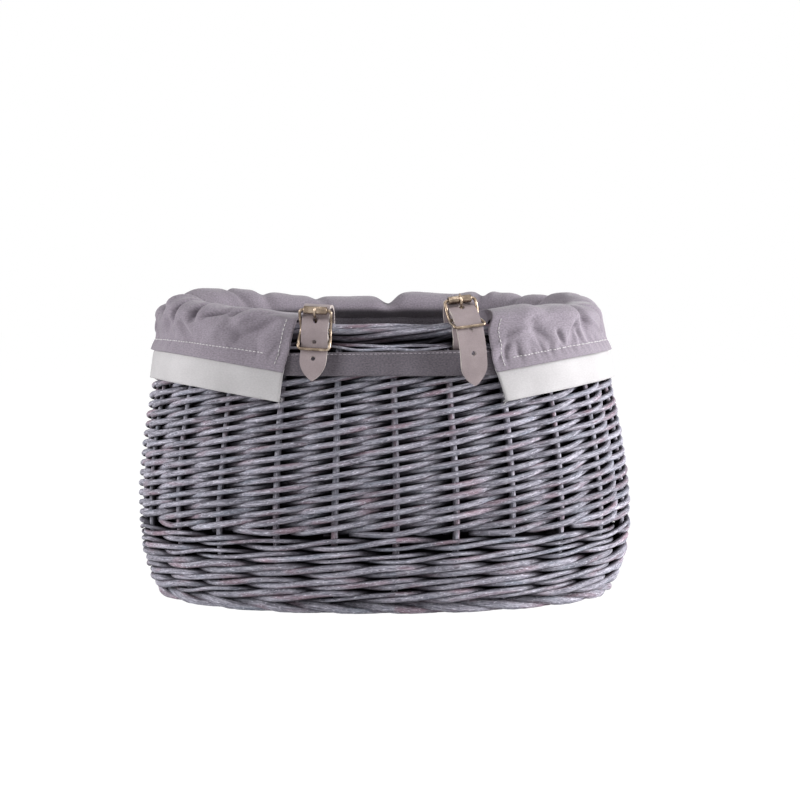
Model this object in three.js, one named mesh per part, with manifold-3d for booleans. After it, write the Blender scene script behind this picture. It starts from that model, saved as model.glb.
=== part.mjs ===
// Oval willow bicycle basket with a cotton liner and two buckled leather straps.
// Millimetres, +Z up. The strap side faces -Y, and the origin is on the ground under the middle.

import * as THREE from "three";
import { mergeVertices } from "three/addons/utils/BufferGeometryUtils.js";
import Module from "manifold-3d";

const wasm = await Module();
wasm.setup();

// Outside form of the wicker
const BELLY_WIDTH = 400;
const BELLY_DEPTH = 300;
const BELLY_HEIGHT = 74;
const RIM_WIDTH = 348;
const RIM_DEPTH = 248;
const RIM_HEIGHT = 220;
const FOOT_WIDTH = 356;
const FOOT_DEPTH = 256;
const OVAL_POWER = 2.2;
const SHOULDER_CURVE = 1.5;
const FOOT_CURVE = 2.2;

// Willow
const STAKE_DOZENS = 2;
const STAKE_THICKNESS = 5.2;
const WEAVER_DEPTH = 3.6;
const WEAVER_FRONT_LAYERS = 17;
const WEAVER_SETS = 4;
const BUTT_PRESS = 0.5;
const BUTT_START = 0.4;
const WALE_ROUNDS = 4;
const WALE_ROD_HEIGHT = 5.7;
const WALE_ROD_DEPTH = 4.5;
const BORDER_RADIUS = 8.7;
const BORDER_STRANDS = 5;
const BORDER_LAYS = 24;
const BORDER_STEPS = 40;
const FOOT_RADIUS = 5.3;
const FOOT_STRANDS = 2;
const FOOT_LAYS = 23;
const FOOT_STEPS = 60;
const FOOT_FLAT = 0.5;
const STRAP_SLOT = 8;
const BASE_THICKNESS = 7;
const BASE_LIFT = 1.5;
const BASE_RELIEF = 1.2;
const BASE_ROUNDS = 8;

// Cotton liner
const LINER_THICKNESS = 1.6;
const TRIM_THICKNESS = 1.4;
const TRIM_HEIGHT = 22;
const TRIM_TUCK = 4;
const TRIM_END_DROP = 13;
const DROP_SHARE = 0.16;
const THROAT_BEND = 8;
const THROAT_START = 2;
const SEAM_DROP = 4;
const COLLAR_DROP = 47;
const CREST_HEIGHT = 20;
const COLLAR_SPRING = 2;
const COLLAR_BULGE = 5;
const CREST_SWELL = 0.25;
const CHEEK_DROP = 7;
const HEM_FLAT = 4;
const HEM_FLARE = 9;
const GAP_FLARE = { left: 10, right: 8 };
const BAND_DROP = 42;
const BAND_HEIGHT = 19;
const BAND_TUCK = 14;

// Leather straps and brass buckles
const STRAP_WIDTH = 20;
const STRAP_THICKNESS = 2.2;
const STRAP_PLACE = { left: 1.42, right: 1.32 };
const HOLE_RADIUS = 1.8;
const HOLE_PITCH = 18;
const TIP_LENGTH = 11;
const TIP_BLUNT = 0.15;
const WIRE_RADIUS = 1.4;
const BUCKLE_REACH = 14.5;
const BUCKLE_CORNER = 4;
const ROLLER_RADIUS = 3;
const ROLLER_OUT = 3.4;
const CENTRE_BAR_BACK = 2.5;
const FOOT_BAR_OUT = 4;
const PRONG_RADIUS = 1.1;
const PRONG_EYE_WIDTH = 3.2;
const PRONG_HOLE_LENGTH = 6.4;
const PRONG_HOLE_WIDTH = 4.6;
const PRONG_HOLE_UP = 8.6;
const PRONG_HOLE_OUT = 1.5;

// Clearances
const ROD_GAP = 0.35;
const STAKE_GAP = 0.6;
const CLOTH_GAP = 0.5;
const SEAM_GAP = 0.3;
const STRAP_GAP = 0.4;
const PIVOT_GAP = 0.3;
const PRONG_SIDE_GAP = 0.6;
const FLAP_GAP = { left: 3, right: 5.5 };

// Sizes that follow from those above
const stakeCount = 12 * STAKE_DOZENS;
const levelCount = 2 * WEAVER_FRONT_LAYERS;
const wallHalf = STAKE_THICKNESS / 2 + STAKE_GAP + WEAVER_DEPTH;
const waleHalf = STAKE_THICKNESS / 2 + STAKE_GAP + WALE_ROD_DEPTH;
const borderHeight = RIM_HEIGHT - BORDER_RADIUS;
const footHeight = FOOT_RADIUS - FOOT_FLAT;
const waleBottom = footHeight + FOOT_RADIUS + ROD_GAP;
const waleRoundHeight = 2 * (WALE_ROD_HEIGHT + ROD_GAP);
const waleTop = waleBottom + WALE_ROUNDS * waleRoundHeight;
const weaveBottom = waleTop + 2 * BUTT_PRESS + 2.5 * ROD_GAP;
const weaveTop = borderHeight - BORDER_RADIUS - STRAP_SLOT;
const levelPitch = (weaveTop - weaveBottom) / levelCount;
const weaverHeight = levelPitch - ROD_GAP;
const buttHeight = levelPitch + 4 * BUTT_PRESS + 3 * ROD_GAP;
const baseTop = BASE_LIFT + BASE_THICKNESS;
const bandOffset = wallHalf + CLOTH_GAP;
const trimOffset = bandOffset + LINER_THICKNESS + CLOTH_GAP;
const collarOffset = trimOffset + TRIM_THICKNESS + CLOTH_GAP;
const bagOffset = waleHalf + CLOTH_GAP;
const throatOffset = BORDER_RADIUS + 2 * STRAP_GAP + STRAP_THICKNESS + CLOTH_GAP;
const seamHeight = RIM_HEIGHT - SEAM_DROP;
const trimBottom = RIM_HEIGHT - COLLAR_DROP;
const bandBottom = RIM_HEIGHT - BAND_DROP;

const WILLOW = { color: 0x8f8d99, roughness: 0.75, metalness: 0 };
const COTTON = { color: 0x938a96, roughness: 0.95, metalness: 0 };
const WHITE_COTTON = { color: 0xe8e5e6, roughness: 0.95, metalness: 0 };
const LEATHER = { color: 0x9b8c90, roughness: 0.6, metalness: 0 };
const BRASS = { color: 0xb08a4e, roughness: 0.35, metalness: 1 };

const basket = new THREE.Group();
const UP = new THREE.Vector3(0, 0, 1);

function addPiece(parent, name, geometry, finish) {
  const mesh = new THREE.Mesh(geometry, new THREE.MeshStandardMaterial(finish));
  mesh.name = name;
  parent.add(mesh);
  return mesh;
}

// A solid from points and triangles, turned so that its faces point out
function facingOut(points, triangles) {
  let volume = 0;
  const cross = new THREE.Vector3();
  for (let t = 0; t < triangles.length; t += 3) {
    const [a, b, c] = [points[triangles[t]], points[triangles[t + 1]], points[triangles[t + 2]]];
    volume += a.dot(cross.crossVectors(b, c));
  }
  const index = volume < 0 ? triangles.toReversed() : triangles;
  const geometry = new THREE.BufferGeometry().setFromPoints(points);
  geometry.setIndex(index);
  return geometry;
}

// Rings of equally many points, each joined to the next, with flat ends unless the row of rings closes
function loft(rings, closed) {
  const size = rings[0].length;
  const triangles = [];
  const joints = closed ? rings.length : rings.length - 1;
  for (let row = 0; row < joints; row += 1) {
    const here = row * size;
    const next = ((row + 1) % rings.length) * size;
    for (let k = 0; k < size; k += 1) {
      const beside = (k + 1) % size;
      triangles.push(here + k, next + k, next + beside);
      triangles.push(here + k, next + beside, here + beside);
    }
  }
  if (!closed) {
    const end = (rings.length - 1) * size;
    for (let k = 1; k < size - 1; k += 1) {
      triangles.push(0, k, k + 1);
      triangles.push(end, end + k + 1, end + k);
    }
  }
  return facingOut(rings.flat(), triangles);
}

// A section of a rod: points round a centre on the axes out and up
function section(centre, out, up, outRadius, upRadius, sides) {
  const ring = [];
  for (let k = 0; k < sides; k += 1) {
    const angle = (k / sides) * 2 * Math.PI;
    const point = centre.clone();
    point.addScaledVector(out, outRadius * Math.cos(angle));
    point.addScaledVector(up, upRadius * Math.sin(angle));
    ring.push(point);
  }
  return ring;
}

// A thin sheet: rows of points on its face and the same rows on its back
function sheet(face, back) {
  const rows = face.length;
  const columns = face[0].length;
  const triangles = [];
  const at = (side, row, column) => (side * rows + row) * columns + column;
  const quad = (a, b, c, d) => triangles.push(a, b, c, a, c, d);
  for (let i = 0; i < rows - 1; i += 1) {
    for (let j = 0; j < columns - 1; j += 1) {
      quad(at(0, i, j), at(0, i + 1, j), at(0, i + 1, j + 1), at(0, i, j + 1));
      quad(at(1, i, j), at(1, i, j + 1), at(1, i + 1, j + 1), at(1, i + 1, j));
    }
    const last = columns - 1;
    quad(at(0, i, 0), at(1, i, 0), at(1, i + 1, 0), at(0, i + 1, 0));
    quad(at(0, i, last), at(0, i + 1, last), at(1, i + 1, last), at(1, i, last));
  }
  for (let j = 0; j < columns - 1; j += 1) {
    const last = rows - 1;
    quad(at(0, 0, j), at(0, 0, j + 1), at(1, 0, j + 1), at(1, 0, j));
    quad(at(0, last, j), at(1, last, j), at(1, last, j + 1), at(0, last, j + 1));
  }
  return facingOut([...face.flat(), ...back.flat()], triangles);
}

function toSolid(geometry) {
  const bare = geometry.clone();
  bare.deleteAttribute("normal");
  bare.deleteAttribute("uv");
  const merged = mergeVertices(bare, 1e-4);
  return new wasm.Manifold(
    new wasm.Mesh({
      numProp: 3,
      vertProperties: new Float32Array(merged.attributes.position.array),
      triVerts: new Uint32Array(merged.index.array),
    }),
  );
}

function fromSolid(solid) {
  const mesh = solid.getMesh();
  const geometry = new THREE.BufferGeometry();
  geometry.setAttribute("position", new THREE.BufferAttribute(mesh.vertProperties, 3));
  geometry.setIndex(new THREE.BufferAttribute(mesh.triVerts, 1));
  return geometry;
}

function join(geometries) {
  return fromSolid(geometries.map(toSolid).reduce((sum, solid) => sum.add(solid)));
}

function cut(geometry, tools) {
  return fromSolid(tools.map(toSolid).reduce((rest, tool) => rest.subtract(tool), toSolid(geometry)));
}

// The wall's middle surface: half its width or depth at a height
function halfAt(z, belly, rim, foot) {
  if (z >= BELLY_HEIGHT) {
    const rise = Math.min(1, (z - BELLY_HEIGHT) / (RIM_HEIGHT - BELLY_HEIGHT));
    return belly / 2 - wallHalf - ((belly - rim) / 2) * rise ** SHOULDER_CURVE;
  }
  const drop = (BELLY_HEIGHT - z) / BELLY_HEIGHT;
  return belly / 2 - wallHalf - ((belly - foot) / 2) * drop ** FOOT_CURVE;
}

const halfWidth = (z) => halfAt(z, BELLY_WIDTH, RIM_WIDTH, FOOT_WIDTH);
const halfDepth = (z) => halfAt(z, BELLY_DEPTH, RIM_DEPTH, FOOT_DEPTH);
const rounded = (value) => Math.sign(value) * Math.abs(value) ** (2 / OVAL_POWER);

// Angles that share the belly's girth evenly, counted from the front towards +X
const GIRTH_STEPS = 1440;
const girth = [0];
for (let step = 1; step <= GIRTH_STEPS; step += 1) {
  const at = (k) => {
    const angle = (k / GIRTH_STEPS) * 2 * Math.PI;
    const x = halfWidth(BELLY_HEIGHT) * rounded(Math.sin(angle));
    return new THREE.Vector2(x, halfDepth(BELLY_HEIGHT) * rounded(Math.cos(angle)));
  };
  girth.push(girth[step - 1] + at(step).distanceTo(at(step - 1)));
}

function girthAngle(share) {
  const turn = share - Math.floor(share);
  const length = turn * girth[GIRTH_STEPS];
  let low = 0;
  let high = GIRTH_STEPS;
  while (high - low > 1) {
    const middle = (low + high) >> 1;
    if (girth[middle] <= length) {
      low = middle;
    } else {
      high = middle;
    }
  }
  const part = (length - girth[low]) / (girth[high] - girth[low]);
  return ((low + part) / GIRTH_STEPS) * 2 * Math.PI;
}

// The level direction out of the wall
function wallNormal(share, z) {
  const angle = girthAngle(share);
  const power = 2 - 2 / OVAL_POWER;
  const x = Math.sign(Math.sin(angle)) * Math.abs(Math.sin(angle)) ** power / halfWidth(z);
  const y = -Math.sign(Math.cos(angle)) * Math.abs(Math.cos(angle)) ** power / halfDepth(z);
  return new THREE.Vector3(x, y, 0).normalize();
}

// A point of the wall, at a share of the girth, a height and a distance out of the middle surface
function wallPoint(share, z, out) {
  const angle = girthAngle(share);
  const x = halfWidth(z) * rounded(Math.sin(angle));
  const y = -halfDepth(z) * rounded(Math.cos(angle));
  return new THREE.Vector3(x, y, z).addScaledVector(wallNormal(share, z), out);
}

// The share of the girth, on the front, where the wall reaches a distance from the middle
function shareAtWidth(x, z, out) {
  let low = 0;
  let high = 0.25;
  for (let step = 0; step < 40; step += 1) {
    const middle = (low + high) / 2;
    if (wallPoint(middle, z, out).x < x) {
      low = middle;
    } else {
      high = middle;
    }
  }
  return low;
}

// Each strap lies in the second bay from the middle stake, and the collar's gap takes in both buckles
const strapShare = { left: STRAP_PLACE.left / stakeCount, right: STRAP_PLACE.right / stakeCount };
const frameHalf = STRAP_WIDTH / 2 + STRAP_GAP + WIRE_RADIUS;
const gapHalfTop = (side) => wallPoint(strapShare[side], borderHeight, 0).x + frameHalf + FLAP_GAP[side];
const gapHalfBottom = (side) => gapHalfTop(side) + GAP_FLARE[side];
const bandHalf = Math.max(gapHalfBottom("left"), gapHalfBottom("right")) + BAND_TUCK;

// The directions square to the sloping wall and up along it
function wallSlope(share, z) {
  const out = wallNormal(share, z);
  const STEP = 0.5;
  const up = wallPoint(share, z + STEP, 0).sub(wallPoint(share, z - STEP, 0)).normalize();
  const along = new THREE.Vector3().crossVectors(UP, out);
  return { out: new THREE.Vector3().crossVectors(along, up).normalize(), up };
}

// A three-sided rod section with its ridge to the outside, set out of and up along the wall
function rodSection(share, z, outBy, upBy, depth, height) {
  const { out, up } = wallSlope(share, z);
  const centre = wallPoint(share, z, 0).addScaledVector(out, outBy).addScaledVector(up, upBy);
  const upRadius = height / 2 / Math.sin((2 * Math.PI) / 3);
  return section(centre, out, up, (depth * 2) / 3, upRadius, 3);
}

// Upright stakes, with shorter steps where the foot curves
const STAKE_STEPS = 4;
for (let stake = 0; stake < stakeCount; stake += 1) {
  const share = stake / stakeCount;
  const bottom = footHeight + FOOT_RADIUS + ROD_GAP;
  const top = borderHeight - BORDER_RADIUS - ROD_GAP;
  const rings = [];
  for (let step = 0; step <= 2 * STAKE_STEPS; step += 1) {
    const rise = step / STAKE_STEPS;
    const lower = bottom + (BELLY_HEIGHT - bottom) * rise;
    const z = rise <= 1 ? lower : BELLY_HEIGHT + (top - BELLY_HEIGHT) * (rise - 1);
    const out = wallNormal(share, z);
    const along = new THREE.Vector3().crossVectors(UP, out);
    const radius = STAKE_THICKNESS / 2;
    rings.push(section(wallPoint(share, z, 0), out, along, radius, radius, 4));
  }
  addPiece(basket, `stake_${String(stake + 1).padStart(2, "0")}`, loft(rings, false), WILLOW);
}

// Side weave: slanting rods, each in front of one stake and behind the next, two levels up per stake.
// Each set of neighbouring rods is jammed together at the butts.
const inFront = STAKE_THICKNESS / 2 + STAKE_GAP + WEAVER_DEPTH / 3;
const behind = -(STAKE_THICKNESS / 2 + STAKE_GAP + (WEAVER_DEPTH * 2) / 3);

function weaver(firstStake, firstLevel, tucked) {
  const ringAt = (step) => {
    const z = weaveBottom + (firstLevel + 2 * step + 0.5) * levelPitch;
    const front = Math.abs(firstStake + firstLevel + step) % 2 === 0;
    const height = step === 0 && firstLevel === 0 ? buttHeight : weaverHeight;
    const share = (firstStake + step) / stakeCount;
    return rodSection(share, z, front ? inFront : behind, 0, WEAVER_DEPTH, height);
  };
  const rings = [];
  if (tucked) {
    const start = ringAt(0);
    rings.push(ringAt(-1).map((point, k) => point.lerp(start[k], BUTT_START)));
  }
  for (let step = 0; firstLevel + 2 * step < levelCount; step += 1) {
    rings.push(ringAt(step));
  }
  return loft(rings, false);
}

const stakesPerSet = stakeCount / WEAVER_SETS;
for (let set = 0; set < WEAVER_SETS; set += 1) {
  const rods = [];
  for (let k = 0; k < stakesPerSet; k += 1) {
    const stake = set * stakesPerSet + k;
    rods.push(weaver(stake, 0, false));
    rods.push(weaver(stake, 1, k > 0));
  }
  addPiece(basket, `side_weave_${set + 1}`, join(rods), WILLOW);
}

// Waling: rounds of three rods, each in front of two stakes and behind the third
const waleFront = STAKE_THICKNESS / 2 + STAKE_GAP + WALE_ROD_DEPTH / 3;
const waleBehind = -(STAKE_THICKNESS / 2 + STAKE_GAP + (WALE_ROD_DEPTH * 2) / 3);
const waleMiddle = (waleFront + waleBehind) / 2;
const waleRise = (WALE_ROD_HEIGHT + ROD_GAP) / 2;
const waleSteps = [
  [waleBehind, 0],
  [waleMiddle, -waleRise],
  [waleFront, -waleRise],
  [waleFront, 0],
  [waleFront, waleRise],
  [waleMiddle, waleRise],
];
for (let round = 0; round < WALE_ROUNDS; round += 1) {
  const middle = waleBottom + (round + 0.5) * waleRoundHeight;
  for (let rod = 0; rod < 3; rod += 1) {
    const rings = [];
    for (let half = 0; half < 2 * stakeCount; half += 1) {
      const [out, rise] = waleSteps[(half + 2 * rod + 2 * round) % waleSteps.length];
      const share = half / (2 * stakeCount);
      rings.push(rodSection(share, middle, out, rise, WALE_ROD_DEPTH, WALE_ROD_HEIGHT));
    }
    addPiece(basket, `wale_${round + 1}_rod_${"abc"[rod]}`, loft(rings, true), WILLOW);
  }
}

// A rope of rods laid round the oval: one rod that goes round once for each strand
function rope(height, radius, strands, lays, stepsPerRound) {
  const spread = Math.sin(Math.PI / strands);
  const layRadius = (radius + ROD_GAP / 2) / (1 + spread);
  const rodRadius = radius - layRadius;
  const rings = [];
  for (let step = 0; step < strands * stepsPerRound; step += 1) {
    const share = step / stepsPerRound;
    const angle = (2 * Math.PI * share * lays) / strands;
    const out = layRadius * Math.cos(angle);
    const centre = wallPoint(share, height, out).addScaledVector(UP, layRadius * Math.sin(angle));
    rings.push(section(centre, wallNormal(share, height), UP, rodRadius, rodRadius, 4));
  }
  return loft(rings, true);
}

const rimRope = rope(borderHeight, BORDER_RADIUS, BORDER_STRANDS, BORDER_LAYS, BORDER_STEPS);
addPiece(basket, "rim_border", rimRope, WILLOW);

const ground = new THREE.BoxGeometry(2 * BELLY_WIDTH, 2 * BELLY_DEPTH, 2 * FOOT_RADIUS);
ground.translate(0, 0, -FOOT_RADIUS);
const footRope = rope(footHeight, FOOT_RADIUS, FOOT_STRANDS, -FOOT_LAYS, FOOT_STEPS);
addPiece(basket, "foot_border", cut(footRope, [ground]), WILLOW);

// Woven base: an oval mat whose rounds of rods ride over and under the base sticks
function baseMat() {
  const edge = FOOT_RADIUS + ROD_GAP + CLOTH_GAP;
  const round = (k, z, sign) => {
    const ring = [];
    for (let stick = 0; stick < stakeCount; stick += 1) {
      const rim = wallPoint(stick / stakeCount, footHeight, -edge);
      const inner = k / BASE_ROUNDS;
      const relief = (stick + k) % 2 === 0 ? BASE_RELIEF : 0;
      ring.push(new THREE.Vector3(rim.x * inner, rim.y * inner, z + sign * relief));
    }
    return ring;
  };
  const rings = [];
  for (let k = 1; k <= BASE_ROUNDS; k += 1) {
    rings.push(round(k, BASE_LIFT, k === 1 ? 0 : 1));
  }
  for (let k = BASE_ROUNDS; k >= 1; k -= 1) {
    rings.push(round(k, baseTop, k === 1 ? 0 : -1));
  }
  return loft(rings, false);
}

addPiece(basket, "base_mat", baseMat(), WILLOW);

// Liner bag inside the wicker: a flat base panel, and a side panel sewn on round its edge
const linerFloor = baseTop + CLOTH_GAP;
const linerRing = (z, out) => Array.from({ length: stakeCount }, (_, k) => wallPoint(k / stakeCount, z, out));

function linerBase() {
  const rim = linerRing(linerFloor, -bagOffset);
  const raised = rim.map((point) => point.clone().setZ(linerFloor + LINER_THICKNESS));
  return loft([rim, raised], false);
}

addPiece(basket, "liner_base", linerBase(), COTTON);

function linerSide() {
  const bottom = linerFloor + LINER_THICKNESS + SEAM_GAP;
  const bend = weaveTop - THROAT_BEND;
  const heights = [
    bottom,
    (bottom + BELLY_HEIGHT) / 2,
    BELLY_HEIGHT,
    (2 * BELLY_HEIGHT + bend) / 3,
    (BELLY_HEIGHT + 2 * bend) / 3,
    bend,
    weaveTop + THROAT_START,
    seamHeight,
  ];
  const offsetAt = (z) => (z > bend ? throatOffset : bagOffset);
  const outside = heights.map((z) => linerRing(z, -offsetAt(z)));
  const inside = heights.map((z) => linerRing(z, -offsetAt(z) - LINER_THICKNESS));
  return loft([...outside, ...inside.toReversed()], true);
}

addPiece(basket, "liner_side", linerSide(), COTTON);

// Turned-over cloth: stations from the right end of the front gap round the back to the left end
const COLLAR_STATIONS = 44;
const COLLAR_LENGTHS = ["right", "back_right", "back_left", "left"];
const seamShare = SEAM_GAP / (2 * (RIM_WIDTH + RIM_DEPTH));
const smooth = (t) => t * t * (3 - 2 * t);

function endDrop(t) {
  const end = Math.min(t, 1 - t) / DROP_SHARE;
  return end >= 1 ? 0 : TRIM_END_DROP * (1 - smooth(end));
}

function gapEnd(side, z) {
  const low = THREE.MathUtils.clamp((RIM_HEIGHT - z) / COLLAR_DROP, 0, 1);
  const gapHalf = THREE.MathUtils.lerp(gapHalfTop(side), gapHalfBottom(side), low);
  return shareAtWidth(gapHalf, Math.min(z, RIM_HEIGHT), 0);
}

function collarShare(t, z) {
  const right = gapEnd("right", z);
  return right + (1 - right - gapEnd("left", z)) * t;
}

// How high the roll stands, as shares of the crest's height, in even steps round the collar
const CREST_SHARES = [
  0.3, 0.5, 0.65, 0.68, 0.75, 0.8, 0.65, 0.75, 0.88, 0.95, 0.8, 0.9, 0.55, 0.7, 0.7, 0.62, 0.8, 1, 0.92, 0.68, 0.8,
  0.7, 0.48, 0.38, 0.25,
];

function crestAt(t) {
  const place = t * (CREST_SHARES.length - 1);
  const k = Math.min(CREST_SHARES.length - 2, Math.floor(place));
  return CREST_HEIGHT * THREE.MathUtils.lerp(CREST_SHARES[k], CREST_SHARES[k + 1], smooth(place - k));
}

// The collar's path at a station: up from the seam, over in half an oval, and down to the trim
function collarPath(t) {
  const crest = crestAt(t);
  const hem = trimBottom + TRIM_HEIGHT - endDrop(t);
  const springing = RIM_HEIGHT + COLLAR_SPRING;
  const crown = RIM_HEIGHT + crest;
  const cheek = collarOffset + COLLAR_BULGE + CREST_SWELL * (crest - CREST_HEIGHT);
  const throat = throatOffset + LINER_THICKNESS / 2;
  const CROWN_STEPS = 4;
  const path = [new THREE.Vector2(-throat, seamHeight + CLOTH_GAP)];
  for (let k = 0; k <= CROWN_STEPS; k += 1) {
    const angle = Math.PI * (1 - k / CROWN_STEPS);
    const out = (cheek - throat) / 2 + ((cheek + throat) / 2) * Math.cos(angle);
    path.push(new THREE.Vector2(out, springing + (crown - springing) * Math.sin(angle)));
  }
  path.push(new THREE.Vector2(cheek, RIM_HEIGHT - CHEEK_DROP));
  path.push(new THREE.Vector2((collarOffset + cheek) / 2, hem + HEM_FLARE));
  path.push(new THREE.Vector2(collarOffset, hem + HEM_FLAT));
  path.push(new THREE.Vector2(collarOffset, hem));
  return path;
}

// One length of the collar between two shares of its way round
function collar(from, to) {
  const steps = COLLAR_STATIONS / COLLAR_LENGTHS.length;
  const face = [];
  const back = [];
  for (let station = 0; station <= steps; station += 1) {
    const t = THREE.MathUtils.lerp(from, to, station / steps);
    const path = collarPath(t);
    const rowFace = [];
    const rowBack = [];
    path.forEach((point, k) => {
      const before = path[Math.max(0, k - 1)];
      const after = path[Math.min(path.length - 1, k + 1)];
      const along = after.clone().sub(before).normalize();
      const place = (side) => {
        const out = point.x - along.y * side;
        const z = point.y + along.x * side;
        return wallPoint(collarShare(t, point.y), Math.min(z, RIM_HEIGHT), out).setZ(z);
      };
      rowFace.push(place(LINER_THICKNESS));
      rowBack.push(place(0));
    });
    face.push(rowFace);
    back.push(rowBack);
  }
  return sheet(face, back);
}

COLLAR_LENGTHS.forEach((name, k) => {
  const from = k / COLLAR_LENGTHS.length + (k === 0 ? 0 : seamShare);
  const to = (k + 1) / COLLAR_LENGTHS.length - (k === COLLAR_LENGTHS.length - 1 ? 0 : seamShare);
  addPiece(basket, `liner_collar_${name}`, collar(from, to), COTTON);
});

function trim() {
  const face = [];
  const back = [];
  for (let station = 0; station <= COLLAR_STATIONS; station += 1) {
    const t = station / COLLAR_STATIONS;
    const bottom = trimBottom - endDrop(t);
    const row = (out) =>
      [bottom, bottom + TRIM_HEIGHT + TRIM_TUCK].map((z) => wallPoint(collarShare(t, z), z, out));
    face.push(row(trimOffset + TRIM_THICKNESS));
    back.push(row(trimOffset));
  }
  return sheet(face, back);
}

addPiece(basket, "collar_trim", trim(), WHITE_COTTON);

// Flat band across the front gap, its ends under the two ends of the collar
function gapBand() {
  const end = shareAtWidth(bandHalf, bandBottom, 0);
  const STEPS = 12;
  const face = [];
  const back = [];
  for (let step = 0; step <= STEPS; step += 1) {
    const share = end * ((2 * step) / STEPS - 1);
    const row = (out) => [bandBottom, bandBottom + BAND_HEIGHT].map((z) => wallPoint(share, z, out));
    face.push(row(bandOffset + LINER_THICKNESS));
    back.push(row(bandOffset));
  }
  return sheet(face, back);
}

addPiece(basket, "gap_band", gapBand(), COTTON);

// Buckle sizes, in the buckle's own frame: x across, y up the strap, z out of it
const strapHalf = STRAP_THICKNESS / 2;
const loopRadius = WIRE_RADIUS + PIVOT_GAP + STRAP_THICKNESS;
const tailOut = loopRadius + STRAP_GAP + strapHalf - CENTRE_BAR_BACK;
const rollerTuck = ROLLER_OUT - ROLLER_RADIUS - STRAP_GAP - strapHalf;
const tailAtFootBar = FOOT_BAR_OUT - WIRE_RADIUS - STRAP_GAP - strapHalf;
const prongHoleOut = rollerTuck + PRONG_HOLE_OUT;
const eyeRadius = WIRE_RADIUS + PIVOT_GAP;

// A round wire along points that lie about in the plane square to a direction
function wire(points, square, radius, sides, closed) {
  const count = points.length;
  const rings = points.map((point, k) => {
    const before = closed ? points[(k + count - 1) % count] : points[Math.max(0, k - 1)];
    const after = closed ? points[(k + 1) % count] : points[Math.min(count - 1, k + 1)];
    const along = after.clone().sub(before).normalize();
    const across = new THREE.Vector3().crossVectors(along, square).normalize();
    const other = new THREE.Vector3().crossVectors(along, across);
    return section(point, across, other, radius, radius, sides);
  });
  return loft(rings, closed);
}

// A tube about the X axis
function ring(inner, outer, length, sides) {
  const profile = [
    new THREE.Vector2(inner, -length / 2),
    new THREE.Vector2(outer, -length / 2),
    new THREE.Vector2(outer, length / 2),
    new THREE.Vector2(inner, length / 2),
    new THREE.Vector2(inner, -length / 2),
  ];
  return new THREE.LatheGeometry(profile, sides).rotateZ(Math.PI / 2);
}

// Bent wire frame with the bar that the strap's fixed end turns round
function buckleFrame() {
  const outAt = (y) => {
    const share = Math.abs(y) / BUCKLE_REACH;
    const end = y > 0 ? ROLLER_OUT : FOOT_BAR_OUT;
    return THREE.MathUtils.lerp(-CENTRE_BAR_BACK, end, smooth(share));
  };
  const points = [];
  const corner = (x, y, start) => {
    for (let k = 0; k <= 3; k += 1) {
      const angle = start + ((k / 3) * Math.PI) / 2;
      const px = x + BUCKLE_CORNER * Math.cos(angle);
      const py = y + BUCKLE_CORNER * Math.sin(angle);
      points.push(new THREE.Vector3(px, py, outAt(py)));
    }
  };
  const armEnd = BUCKLE_REACH - BUCKLE_CORNER;
  const armX = frameHalf - BUCKLE_CORNER;
  const arm = (x, from, to) => {
    for (let k = 1; k < 4; k += 1) {
      const y = from + ((to - from) * k) / 4;
      points.push(new THREE.Vector3(x, y, outAt(y)));
    }
  };
  corner(armX, armEnd, 0);
  corner(-armX, armEnd, Math.PI / 2);
  arm(-frameHalf, armEnd, -armEnd);
  corner(-armX, -armEnd, Math.PI);
  corner(armX, -armEnd, (3 * Math.PI) / 2);
  arm(frameHalf, -armEnd, armEnd);
  const bar = new THREE.CylinderGeometry(WIRE_RADIUS, WIRE_RADIUS, 2 * frameHalf, 8);
  bar.rotateZ(Math.PI / 2).translate(0, 0, -CENTRE_BAR_BACK);
  return join([wire(points, UP, WIRE_RADIUS, 6, true), bar]);
}

// Prong, about the centre bar: an eye, and a shank through the strap's hole to the front of the roller
function prong() {
  const holeOut = prongHoleOut + CENTRE_BAR_BACK;
  const tipOut = ROLLER_OUT + ROLLER_RADIUS + PIVOT_GAP + PRONG_RADIUS + CENTRE_BAR_BACK;
  const shank = [
    [eyeRadius + 0.2, 0.3],
    [loopRadius + 1, 0.8],
    [PRONG_HOLE_UP - 0.3, holeOut + 0.4],
    [PRONG_HOLE_UP + 1.2, (holeOut + tipOut) / 2 + 0.5],
    [BUCKLE_REACH - 2.2, tipOut - 0.6],
    [BUCKLE_REACH + 2, tipOut],
  ].map(([y, z]) => new THREE.Vector3(0, y, z));
  const eye = ring(eyeRadius, eyeRadius + PRONG_RADIUS, PRONG_EYE_WIDTH, 10);
  return join([eye, wire(shank, new THREE.Vector3(1, 0, 0), PRONG_RADIUS, 6, false)]);
}

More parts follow.
